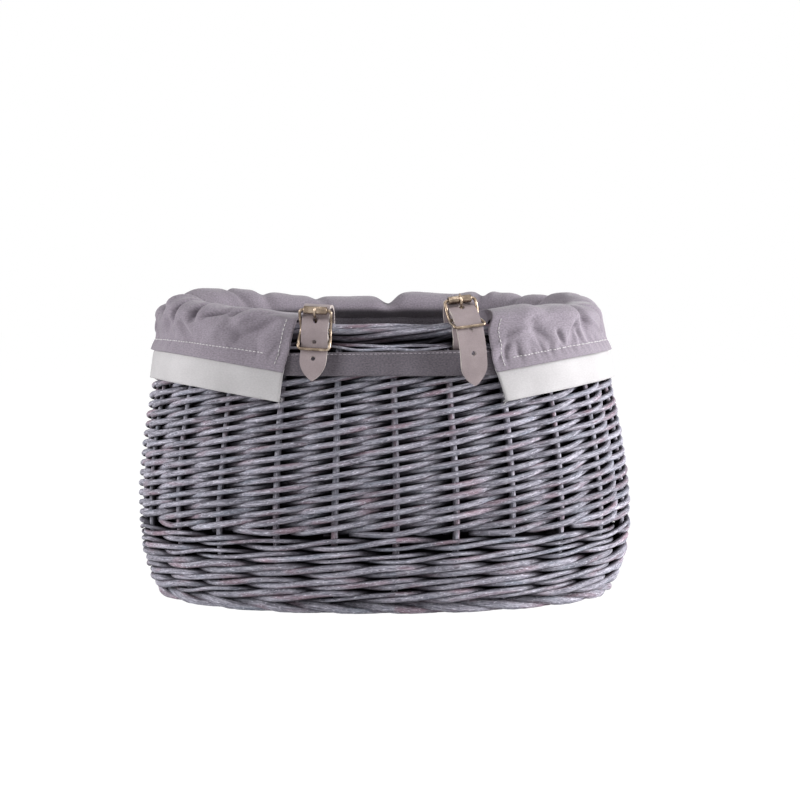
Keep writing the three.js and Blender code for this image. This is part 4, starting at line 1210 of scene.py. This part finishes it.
def smooth_route(points, count):
    """A centripetal spline through points, as evenly spaced points."""
    points = np.array(points, float)
    ring = np.concatenate([2 * points[:1] - points[1:2], points, 2 * points[-1:] - points[-2:-1]])
    knots = np.concatenate([[0], np.cumsum(np.linalg.norm(np.diff(ring, axis=0), axis=1) ** 0.5)])
    pieces = []
    for k in range(1, len(ring) - 2):
        t = np.linspace(knots[k], knots[k + 1], SPLINE_STEPS, endpoint=k == len(ring) - 3)[:, None]
        t0, t1, t2, t3 = knots[k - 1 : k + 3]
        p0, p1, p2, p3 = ring[k - 1 : k + 3]
        middle = moved(p1, p2, t1, t2, t)
        before = moved(moved(p0, p1, t0, t1, t), middle, t0, t2, t)
        after = moved(middle, moved(p2, p3, t2, t3, t), t1, t3, t)
        pieces.append(moved(before, after, t1, t2, t))
    dense = np.concatenate(pieces)
    along = lengths_along(dense)
    even = np.linspace(0, along[-1], count)
    spaced = np.stack([np.interp(even, along, dense[:, axis]) for axis in range(dense.shape[1])], -1)
    return spaced, along[-1]


def strap_route(side):
    """From the fold on the middle bar, down behind the buckle, under and behind the border, over the top,
    down behind the roller, over the middle bar, and behind the foot bar to the tip."""
    def round_border(degrees, gap):
        reach = BORDER_RADIUS + STRAP_GAP + STRAP_HALF + gap * MM
        return reach * np.cos(np.radians(degrees)), reach * np.sin(np.radians(degrees))

    def on_wall(drop, clear):
        wall = (wall_half(BORDER_Z - drop * MM) - wall_half(BORDER_Z))[1] + BAND_OUT + CLOTH / 2
        return wall + STRAP_GAP + STRAP_HALF + clear * MM, -drop * MM

    eye = np.array(on_buckle(side, 0, -BAR_BACK))
    fold = LOOP_RADIUS - STRAP_HALF
    loop = [eye + fold * np.array([np.cos(a), np.sin(a)]) for a in np.radians(FOLD_ANGLES)]
    route = [
        *loop,
        eye + [-fold, -1 * MM],
        *[round_border(degrees, gap) for degrees, gap in UNDER_BORDER],
        *[(u * MM, BORDER_RADIUS + w * MM) for u, w in STRAPS[side]["crest"]],
        *[on_buckle(side, BUCKLE_REACH + rise, ROLLER_TUCK) for rise in BEHIND_ROLLER],
        on_buckle(side, PRONG_HOLE_UP, PRONG_HOLE_OUT),
        on_buckle(side, 0, TAIL_OUT),
        on_buckle(side, -BUCKLE_REACH, TAIL_AT_FOOT_BAR),
        *[on_wall(drop, clear) for drop, clear in STRAPS[side]["tail"]],
    ]
    return smooth_route(route, STRAP_STEPS[0])


def leather_finish(name, dark, light, grain_scale):
    """Leather: fine pebbled grain, slow changes of tone and a soft gloss."""
    material, tree, shader = new_material(name)
    place = object_place(tree)
    tone = noise(tree, place, 90.0, 4)
    pebbles = add_node(tree, "ShaderNodeTexVoronoi", {"Vector": place, "Scale": grain_scale})
    cells = pebbles.outputs["Distance"]
    colour = ramp(tree, tone, (0.3, dark), (0.7, light))
    pores = ramp(tree, cells, (0.0, 1.04), (0.75, 0.88))
    set_inputs(tree, shader, {
        "Base Color": mix(tree, 1.0, colour, pores, "MULTIPLY"),
        "Roughness": ramp(tree, tone, (0.3, 0.5), (0.7, 0.64)),
        "Normal": bumped(tree, cells, 0.25, 0.15 * MM, True),
    })
    return material


taupe_leather = leather_finish("taupe_leather", (0.3, 0.243, 0.252), (0.372, 0.305, 0.314), 1500.0)
cut_edge = leather_finish("pale_cut_edge", (0.42, 0.36, 0.345), (0.58, 0.52, 0.49), 2600.0)


def strap_mesh(side):
    """The route's points carried across the width. Squares inside a punched hole, or the prong's slot,
    are left out, and the points round it are moved onto its edge."""
    route, length = strap_route(side)
    origin, across, normal, upward = strap_stand(side)
    columns = STRAP_STEPS[1]
    route_s = np.linspace(0, length, len(route))
    s = route_s[:, None]
    to_tip = np.clip((length - s) / TIP_LENGTH, 0, 1)
    half = STRAP_WIDTH / 2 * np.maximum(TIP_SHARE, (1 - (1 - to_tip) ** 2) ** TIP_CURVE)
    half = half * toward(FOLD_NARROWING, 1, smooth_step((s - FOLD_LENGTH) / FOLD_FADE))
    x = half * np.linspace(-1, 1, columns)[None]
    s = np.broadcast_to(s, x.shape).copy()
    half_way = len(route) // 2
    from_prong = np.linalg.norm(route[half_way:] - on_buckle(side, PRONG_HOLE_UP, PRONG_HOLE_OUT), axis=1)
    prong_s = length * (half_way + np.argmin(from_prong)) / (len(route) - 1)
    punched = [(prong_s + below * MM, HOLE_RADIUS, HOLE_RADIUS) for below in HOLES_BELOW_PRONG[side]]
    holes = [(prong_s + SLOT_BELOW_PRONG, SLOT_LENGTH / 2, SLOT_WIDTH / 2), *punched]
    kept = np.ones((x.shape[0] - 1, x.shape[1] - 1), bool)
    centre_s = (s[1:, 1:] + s[:-1, :-1]) / 2
    centre_x = (x[1:, 1:] + x[:-1, :-1]) / 2
    for at, along, across_hole in holes:
        inside = np.hypot((centre_s - at) / along, centre_x / across_hole) < 1
        kept &= ~inside
        touched = np.zeros(x.shape, bool)
        for down in (0, 1):
            for right in (0, 1):
                touched[down : x.shape[0] - 1 + down, right : x.shape[1] - 1 + right] |= inside
        away = np.hypot((s - at) / along, x / across_hole)
        pull = np.where(touched & (away > HOLE_CENTRE), 1 / np.maximum(away, HOLE_CENTRE), 1)
        s = at + (s - at) * pull
        x = x * pull
    kept &= ~((np.abs(centre_x) < FOLD_SLOT_HALF) & (centre_s < FOLD_SLOT_LENGTH))
    out, rise = (np.interp(s, route_s, route[:, axis]) for axis in (0, 1))
    points = origin + x[..., None] * across + out[..., None] * normal + rise[..., None] * upward
    rows = x.shape[0]
    row, column = np.nonzero(kept)
    first = row * columns + column
    quads = np.stack([first, first + columns, first + columns + 1, first + 1], -1)
    used, index = np.unique(quads, return_inverse=True)
    mesh = bpy.data.meshes.new(f"leather_strap_{side}")
    mesh.from_pydata(points.reshape(rows * columns, 3)[used].tolist(), [], index.reshape(-1, 4).tolist())
    mesh.polygons.foreach_set("use_smooth", np.ones(len(mesh.polygons), bool))
    return mesh


for side in STRAPS:
    name = f"leather_strap_{side}"
    strap = add_piece(name, strap_mesh(side), taupe_leather, [f"strap_{side}"])
    strap.data.materials.append(cut_edge)
    thickness = strap.modifiers.new("thickness", "SOLIDIFY")
    thickness.thickness = STRAP_THICKNESS
    thickness.offset = 0
    thickness.material_offset_rim = 1
    edges = strap.modifiers.new("worn_edges", "BEVEL")
    edges.width = WORN_EDGE
    edges.segments = 2
    edges.limit_method = "ANGLE"
    edges.angle_limit = np.radians(EDGE_ANGLE)

# Buckles
# Frames bent from brass wire, with a middle bar that holds the strap's fold, a loose roller on the top
# bar, and a prong that swings on the middle bar. The lower bar lies over the strap as a keeper.
BUCKLE_HALF = STRAP_WIDTH / 2 + STRAP_GAP + WIRE_RADIUS
BUCKLE_CORNER = 2.4 * MM
ROLLER_ROOM = 3 * MM
ROLLER_LENGTH = 2 * (BUCKLE_HALF - ROLLER_ROOM)
PRONG_RADIUS = 1.1 * MM
PRONG_EYE = 3.2 * MM
FRAME_WIRE = 1.15 * MM
FRAME_WAIST = 0.7 * MM
BAR_SHARE = 0.98
PRONG_TAPER = 0.3
PRONG_TIP = [0.92, 0.75, 0.35]
SHANK_STEPS = 40
TUBE_SOFTNESS = 0.35
CORNER_POINTS = 9
ARM_POINTS = 22
BAR_POINTS = 12
WAIST_SHARE = 0.55


def brass_finish():
    """Old brass: browner where it is dull, brighter where it is rubbed, with fine scratches."""
    material, tree, shader = new_material("aged_brass")
    place = object_place(tree)
    dull = noise(tree, place, 170.0, 3)
    colours = ((0.3, (0.13, 0.098, 0.075)), (0.5, (0.26, 0.2, 0.15)), (0.7, (0.46, 0.37, 0.29)))
    set_inputs(tree, shader, {
        "Base Color": ramp(tree, dull, *colours),
        "Roughness": ramp(tree, dull, (0.3, 0.36), (0.7, 0.18)),
        "Metallic": 1.0,
        "Normal": bumped(tree, noise(tree, place, 1800.0, 2), 0.06, 0.1 * MM),
    })
    return material


aged_brass = brass_finish()


def buckle_place(side, points):
    """Buckle points (across, up the strap, out of it) set at the strap's stand."""
    origin, across, normal, upward = strap_stand(side)
    out, rise = on_buckle(side, points[..., 1], points[..., 2])
    return origin + points[..., :1] * across + out[..., None] * normal + rise[..., None] * upward


def frame_wire():
    """Round the buckle: four round corners joined by bars, bowed back towards the middle bar."""
    corner = np.linspace(0, np.pi / 2, CORNER_POINTS)
    centre_x = BUCKLE_HALF - BUCKLE_CORNER
    centre_y = BUCKLE_REACH - BUCKLE_CORNER
    arm = np.linspace(centre_y, -centre_y, ARM_POINTS)[1:-1]
    x, y = [], []
    for sign_x, sign_y, first in ((1, 1, 0), (-1, 1, 1), (-1, -1, 2), (1, -1, 3)):
        x.append(sign_x * centre_x + BUCKLE_CORNER * np.cos(corner + first * np.pi / 2))
        y.append(sign_y * centre_y + BUCKLE_CORNER * np.sin(corner + first * np.pi / 2))
        if first % 2:
            x.append(np.full(arm.size, sign_x * BUCKLE_HALF))
            y.append(sign_y * arm)
    x, y = np.concatenate(x), np.concatenate(y)
    x = x - np.sign(x) * FRAME_WAIST * (1 - smooth_step(np.abs(y) / (WAIST_SHARE * BUCKLE_REACH)))
    end = np.where(y > 0, ROLLER_OUT, FOOT_BAR_OUT)
    z = -BAR_BACK + (end + BAR_BACK) * smooth_step(np.abs(y) / BUCKLE_REACH)
    return np.stack([x, y, z], -1)


def turned_skin(centre, profile, sides=20):
    """A closed profile of (along, radius) turned about the line across the buckle through a centre."""
    angle = np.linspace(0, 2 * np.pi, sides, endpoint=False)[:, None]
    along, radius = profile[None, :, 0], profile[None, :, 1]
    x = np.broadcast_to(along, (sides, profile.shape[0]))
    return centre + np.stack([x, radius * np.cos(angle), radius * np.sin(angle)], -1)


def rolled_tube(inner, outer, length):
    """A short tube's profile with its rims rounded."""
    soft = TUBE_SOFTNESS * (outer - inner)
    half = length / 2
    rim = np.linspace(0, np.pi / 2, 4)
    profile = [(-half + soft * (1 - np.sin(a)), outer - soft * (1 - np.cos(a))) for a in rim[::-1]]
    profile += [(half - soft * (1 - np.sin(a)), outer - soft * (1 - np.cos(a))) for a in rim]
    profile += [(half, inner), (-half, inner)]
    return np.array(profile[::-1])


def prong_shank():
    """From the eye on the middle bar, through the strap's hole, to the front of the roller."""
    hole = PRONG_HOLE_OUT + BAR_BACK
    tip = ROLLER_OUT + ROLLER_RADIUS + PIVOT_GAP + PRONG_RADIUS + BAR_BACK
    eye = WIRE_RADIUS + PIVOT_GAP
    route, _ = smooth_route(
        [
            (eye + 0.2 * MM, 0.3 * MM),
            (LOOP_RADIUS + 1 * MM, 0.8 * MM),
            (PRONG_HOLE_UP - 0.3 * MM, hole + 0.4 * MM),
            (PRONG_HOLE_UP + 1.2 * MM, (hole + tip) / 2 + 0.5 * MM),
            (BUCKLE_REACH - 2.2 * MM, tip - 0.6 * MM),
            (BUCKLE_REACH + 2 * MM, tip),
        ],
        SHANK_STEPS,
    )
    return np.stack([0 * route[:, 0], route[:, 0], route[:, 1] - BAR_BACK], -1)


wire = frame_wire()
bar_x = np.linspace(-BUCKLE_HALF, BUCKLE_HALF, BAR_POINTS)
bar = np.stack([bar_x, 0 * bar_x, np.full(BAR_POINTS, -BAR_BACK)], -1)
shank = prong_shank()
shank_radius = PRONG_RADIUS * (1 - PRONG_TAPER * np.linspace(0, 1, len(shank)) ** 2)
shank_radius[-len(PRONG_TIP) :] *= PRONG_TIP
roller_centre = np.array([0, BUCKLE_REACH, ROLLER_OUT])
bar_centre = np.array([0, 0, -BAR_BACK])
out_of_strap = np.array([0.0, 0.0, 1.0])
across_buckle = np.array([1.0, 0.0, 0.0])
wire_skin = rod_skin(wire, out_of_strap, FRAME_WIRE, 12, True)
bar_skin = rod_skin(bar, out_of_strap, FRAME_WIRE * BAR_SHARE, 12)
bore = WIRE_RADIUS + PIVOT_GAP
roller_skin = turned_skin(roller_centre, rolled_tube(bore, ROLLER_RADIUS, ROLLER_LENGTH), 24)
eye_skin = turned_skin(bar_centre, rolled_tube(bore, bore + PRONG_RADIUS, PRONG_EYE))
shank_skin = rod_skin(shank, across_buckle, shank_radius, 12)


def add_brass(name, skin, closed, nodes, body):
    return add_piece(name, skin_mesh(name, [skin], closed), aged_brass, nodes, body)


for side in STRAPS:
    wire_at, bar_at, roller_at, eye_at, shank_at = (
        buckle_place(side, skin) for skin in (wire_skin, bar_skin, roller_skin, eye_skin, shank_skin)
    )
    add_brass(f"buckle_wire_{side}", wire_at, True, [f"buckle_frame_{side}"], "basket")
    add_brass(f"middle_bar_{side}", bar_at, False, [], "basket")
    add_brass(f"brass_roller_{side}", roller_at, True, [f"buckle_roller_{side}"], f"roller_{side}")
    add_brass(f"prong_eye_{side}", eye_at, True, [], f"prong_{side}")
    add_brass(f"brass_prong_{side}", shank_at, False, [f"buckle_prong_{side}"], f"prong_{side}")

# Floor, light and camera
# A plain white sweep, a large soft light at each side, the right one stronger, and weak ones in front and
# above, seen from a little above and a little to the left of the basket's front.
PHOTO_PIXELS = 800
CAMERA_DISTANCE = 1.6
CAMERA_AZIMUTH = -3
CAMERA_ELEVATION = 5
FOCAL_PIXELS = 1963
AIM = np.array([0, 0, 0.12])
AIM_PIXEL = (385, 440)
SENSOR = 36
FLOOR_HALF = 6
FLOOR_TONE = 0.68
FLOOR_GLOW = 1.12
GLOW_SHARE = 0.88
WORLD_LIGHT = 0.045
LIGHTS = {
    "right_light": ((1.45, -0.4, 0.6), 0.8, 36.5),
    "left_light": ((-1.4, -0.45, 0.55), 0.8, 18.7),
    "front_light": ((0.3, -1.5, 1.6), 0.8, 5),
    "top_light": ((0.2, -0.2, 1.7), 0.9, 3.5),
}


def seen_directly(tree):
    """One for rays from the camera, reflections and glass, and nought for the other light."""
    light = add_node(tree, "ShaderNodeLightPath")
    seen = times(tree, light.outputs["Is Camera Ray"], light.outputs["Is Glossy Ray"], "MAXIMUM")
    return times(tree, seen, light.outputs["Is Transmission Ray"], "MAXIMUM")


floor_mesh = bpy.data.meshes.new("floor")
floor_corners = [(FLOOR_HALF * x, FLOOR_HALF * y, 0) for x, y in ((-1, -1), (1, -1), (1, 1), (-1, 1))]
floor_mesh.from_pydata(floor_corners, [], [(0, 1, 2, 3)])
floor = bpy.data.objects.new("floor", floor_mesh)
bpy.context.scene.collection.objects.link(floor)
floor_material, tree, shader = new_material("white_sweep")
set_inputs(tree, shader, {"Base Color": (FLOOR_TONE, FLOOR_TONE, FLOOR_TONE, 1), "Roughness": 0.9})
glow = add_node(tree, "ShaderNodeEmission", {"Color": (1, 1, 1, 1), "Strength": FLOOR_GLOW})
blend = add_node(tree, "ShaderNodeMixShader", {0: times(tree, seen_directly(tree), GLOW_SHARE)})
tree.links.new(shader.outputs["BSDF"], blend.inputs[1])
tree.links.new(glow.outputs["Emission"], blend.inputs[2])
tree.links.new(blend.outputs["Shader"], tree.nodes["Material Output"].inputs["Surface"])
floor_mesh.materials.append(floor_material)

world = bpy.data.worlds.new("studio")
bpy.context.scene.world = world
world.use_nodes = True
tree = world.node_tree
back = tree.nodes["Background"]
back.inputs["Color"].default_value = (1, 1, 1, 1)
strength = add_node(tree, "ShaderNodeMapRange", {"Value": seen_directly(tree), "To Min": WORLD_LIGHT})
tree.links.new(strength.outputs["Result"], back.inputs["Strength"])


def soft_light(name, place, size, power):
    """A square lamp that faces the basket."""
    lamp = bpy.data.lights.new(name, "AREA")
    lamp.size = size
    lamp.energy = power
    light = bpy.data.objects.new(name, lamp)
    light.location = place
    light.rotation_euler = (Vector(AIM) - Vector(place)).to_track_quat("-Z", "Y").to_euler()
    bpy.context.scene.collection.objects.link(light)


for name, (place, size, power) in LIGHTS.items():
    soft_light(name, place, size, power)

camera_data = bpy.data.cameras.new("photo_view")
camera_data.sensor_width = SENSOR
camera_data.lens = SENSOR * FOCAL_PIXELS / PHOTO_PIXELS
camera_data.shift_x = (PHOTO_PIXELS / 2 - AIM_PIXEL[0]) / PHOTO_PIXELS
camera_data.shift_y = (AIM_PIXEL[1] - PHOTO_PIXELS / 2) / PHOTO_PIXELS
camera = bpy.data.objects.new("photo_view", camera_data)
bpy.context.scene.collection.objects.link(camera)
azimuth, elevation = np.radians([CAMERA_AZIMUTH, CAMERA_ELEVATION])
camera.location = AIM + CAMERA_DISTANCE * np.array(
    [np.sin(azimuth) * np.cos(elevation), -np.cos(azimuth) * np.cos(elevation), np.sin(elevation)]
)
camera.rotation_euler = (np.pi / 2 - elevation, 0, azimuth)
bpy.context.scene.camera = camera
bpy.context.scene.view_settings.view_transform = "Standard"
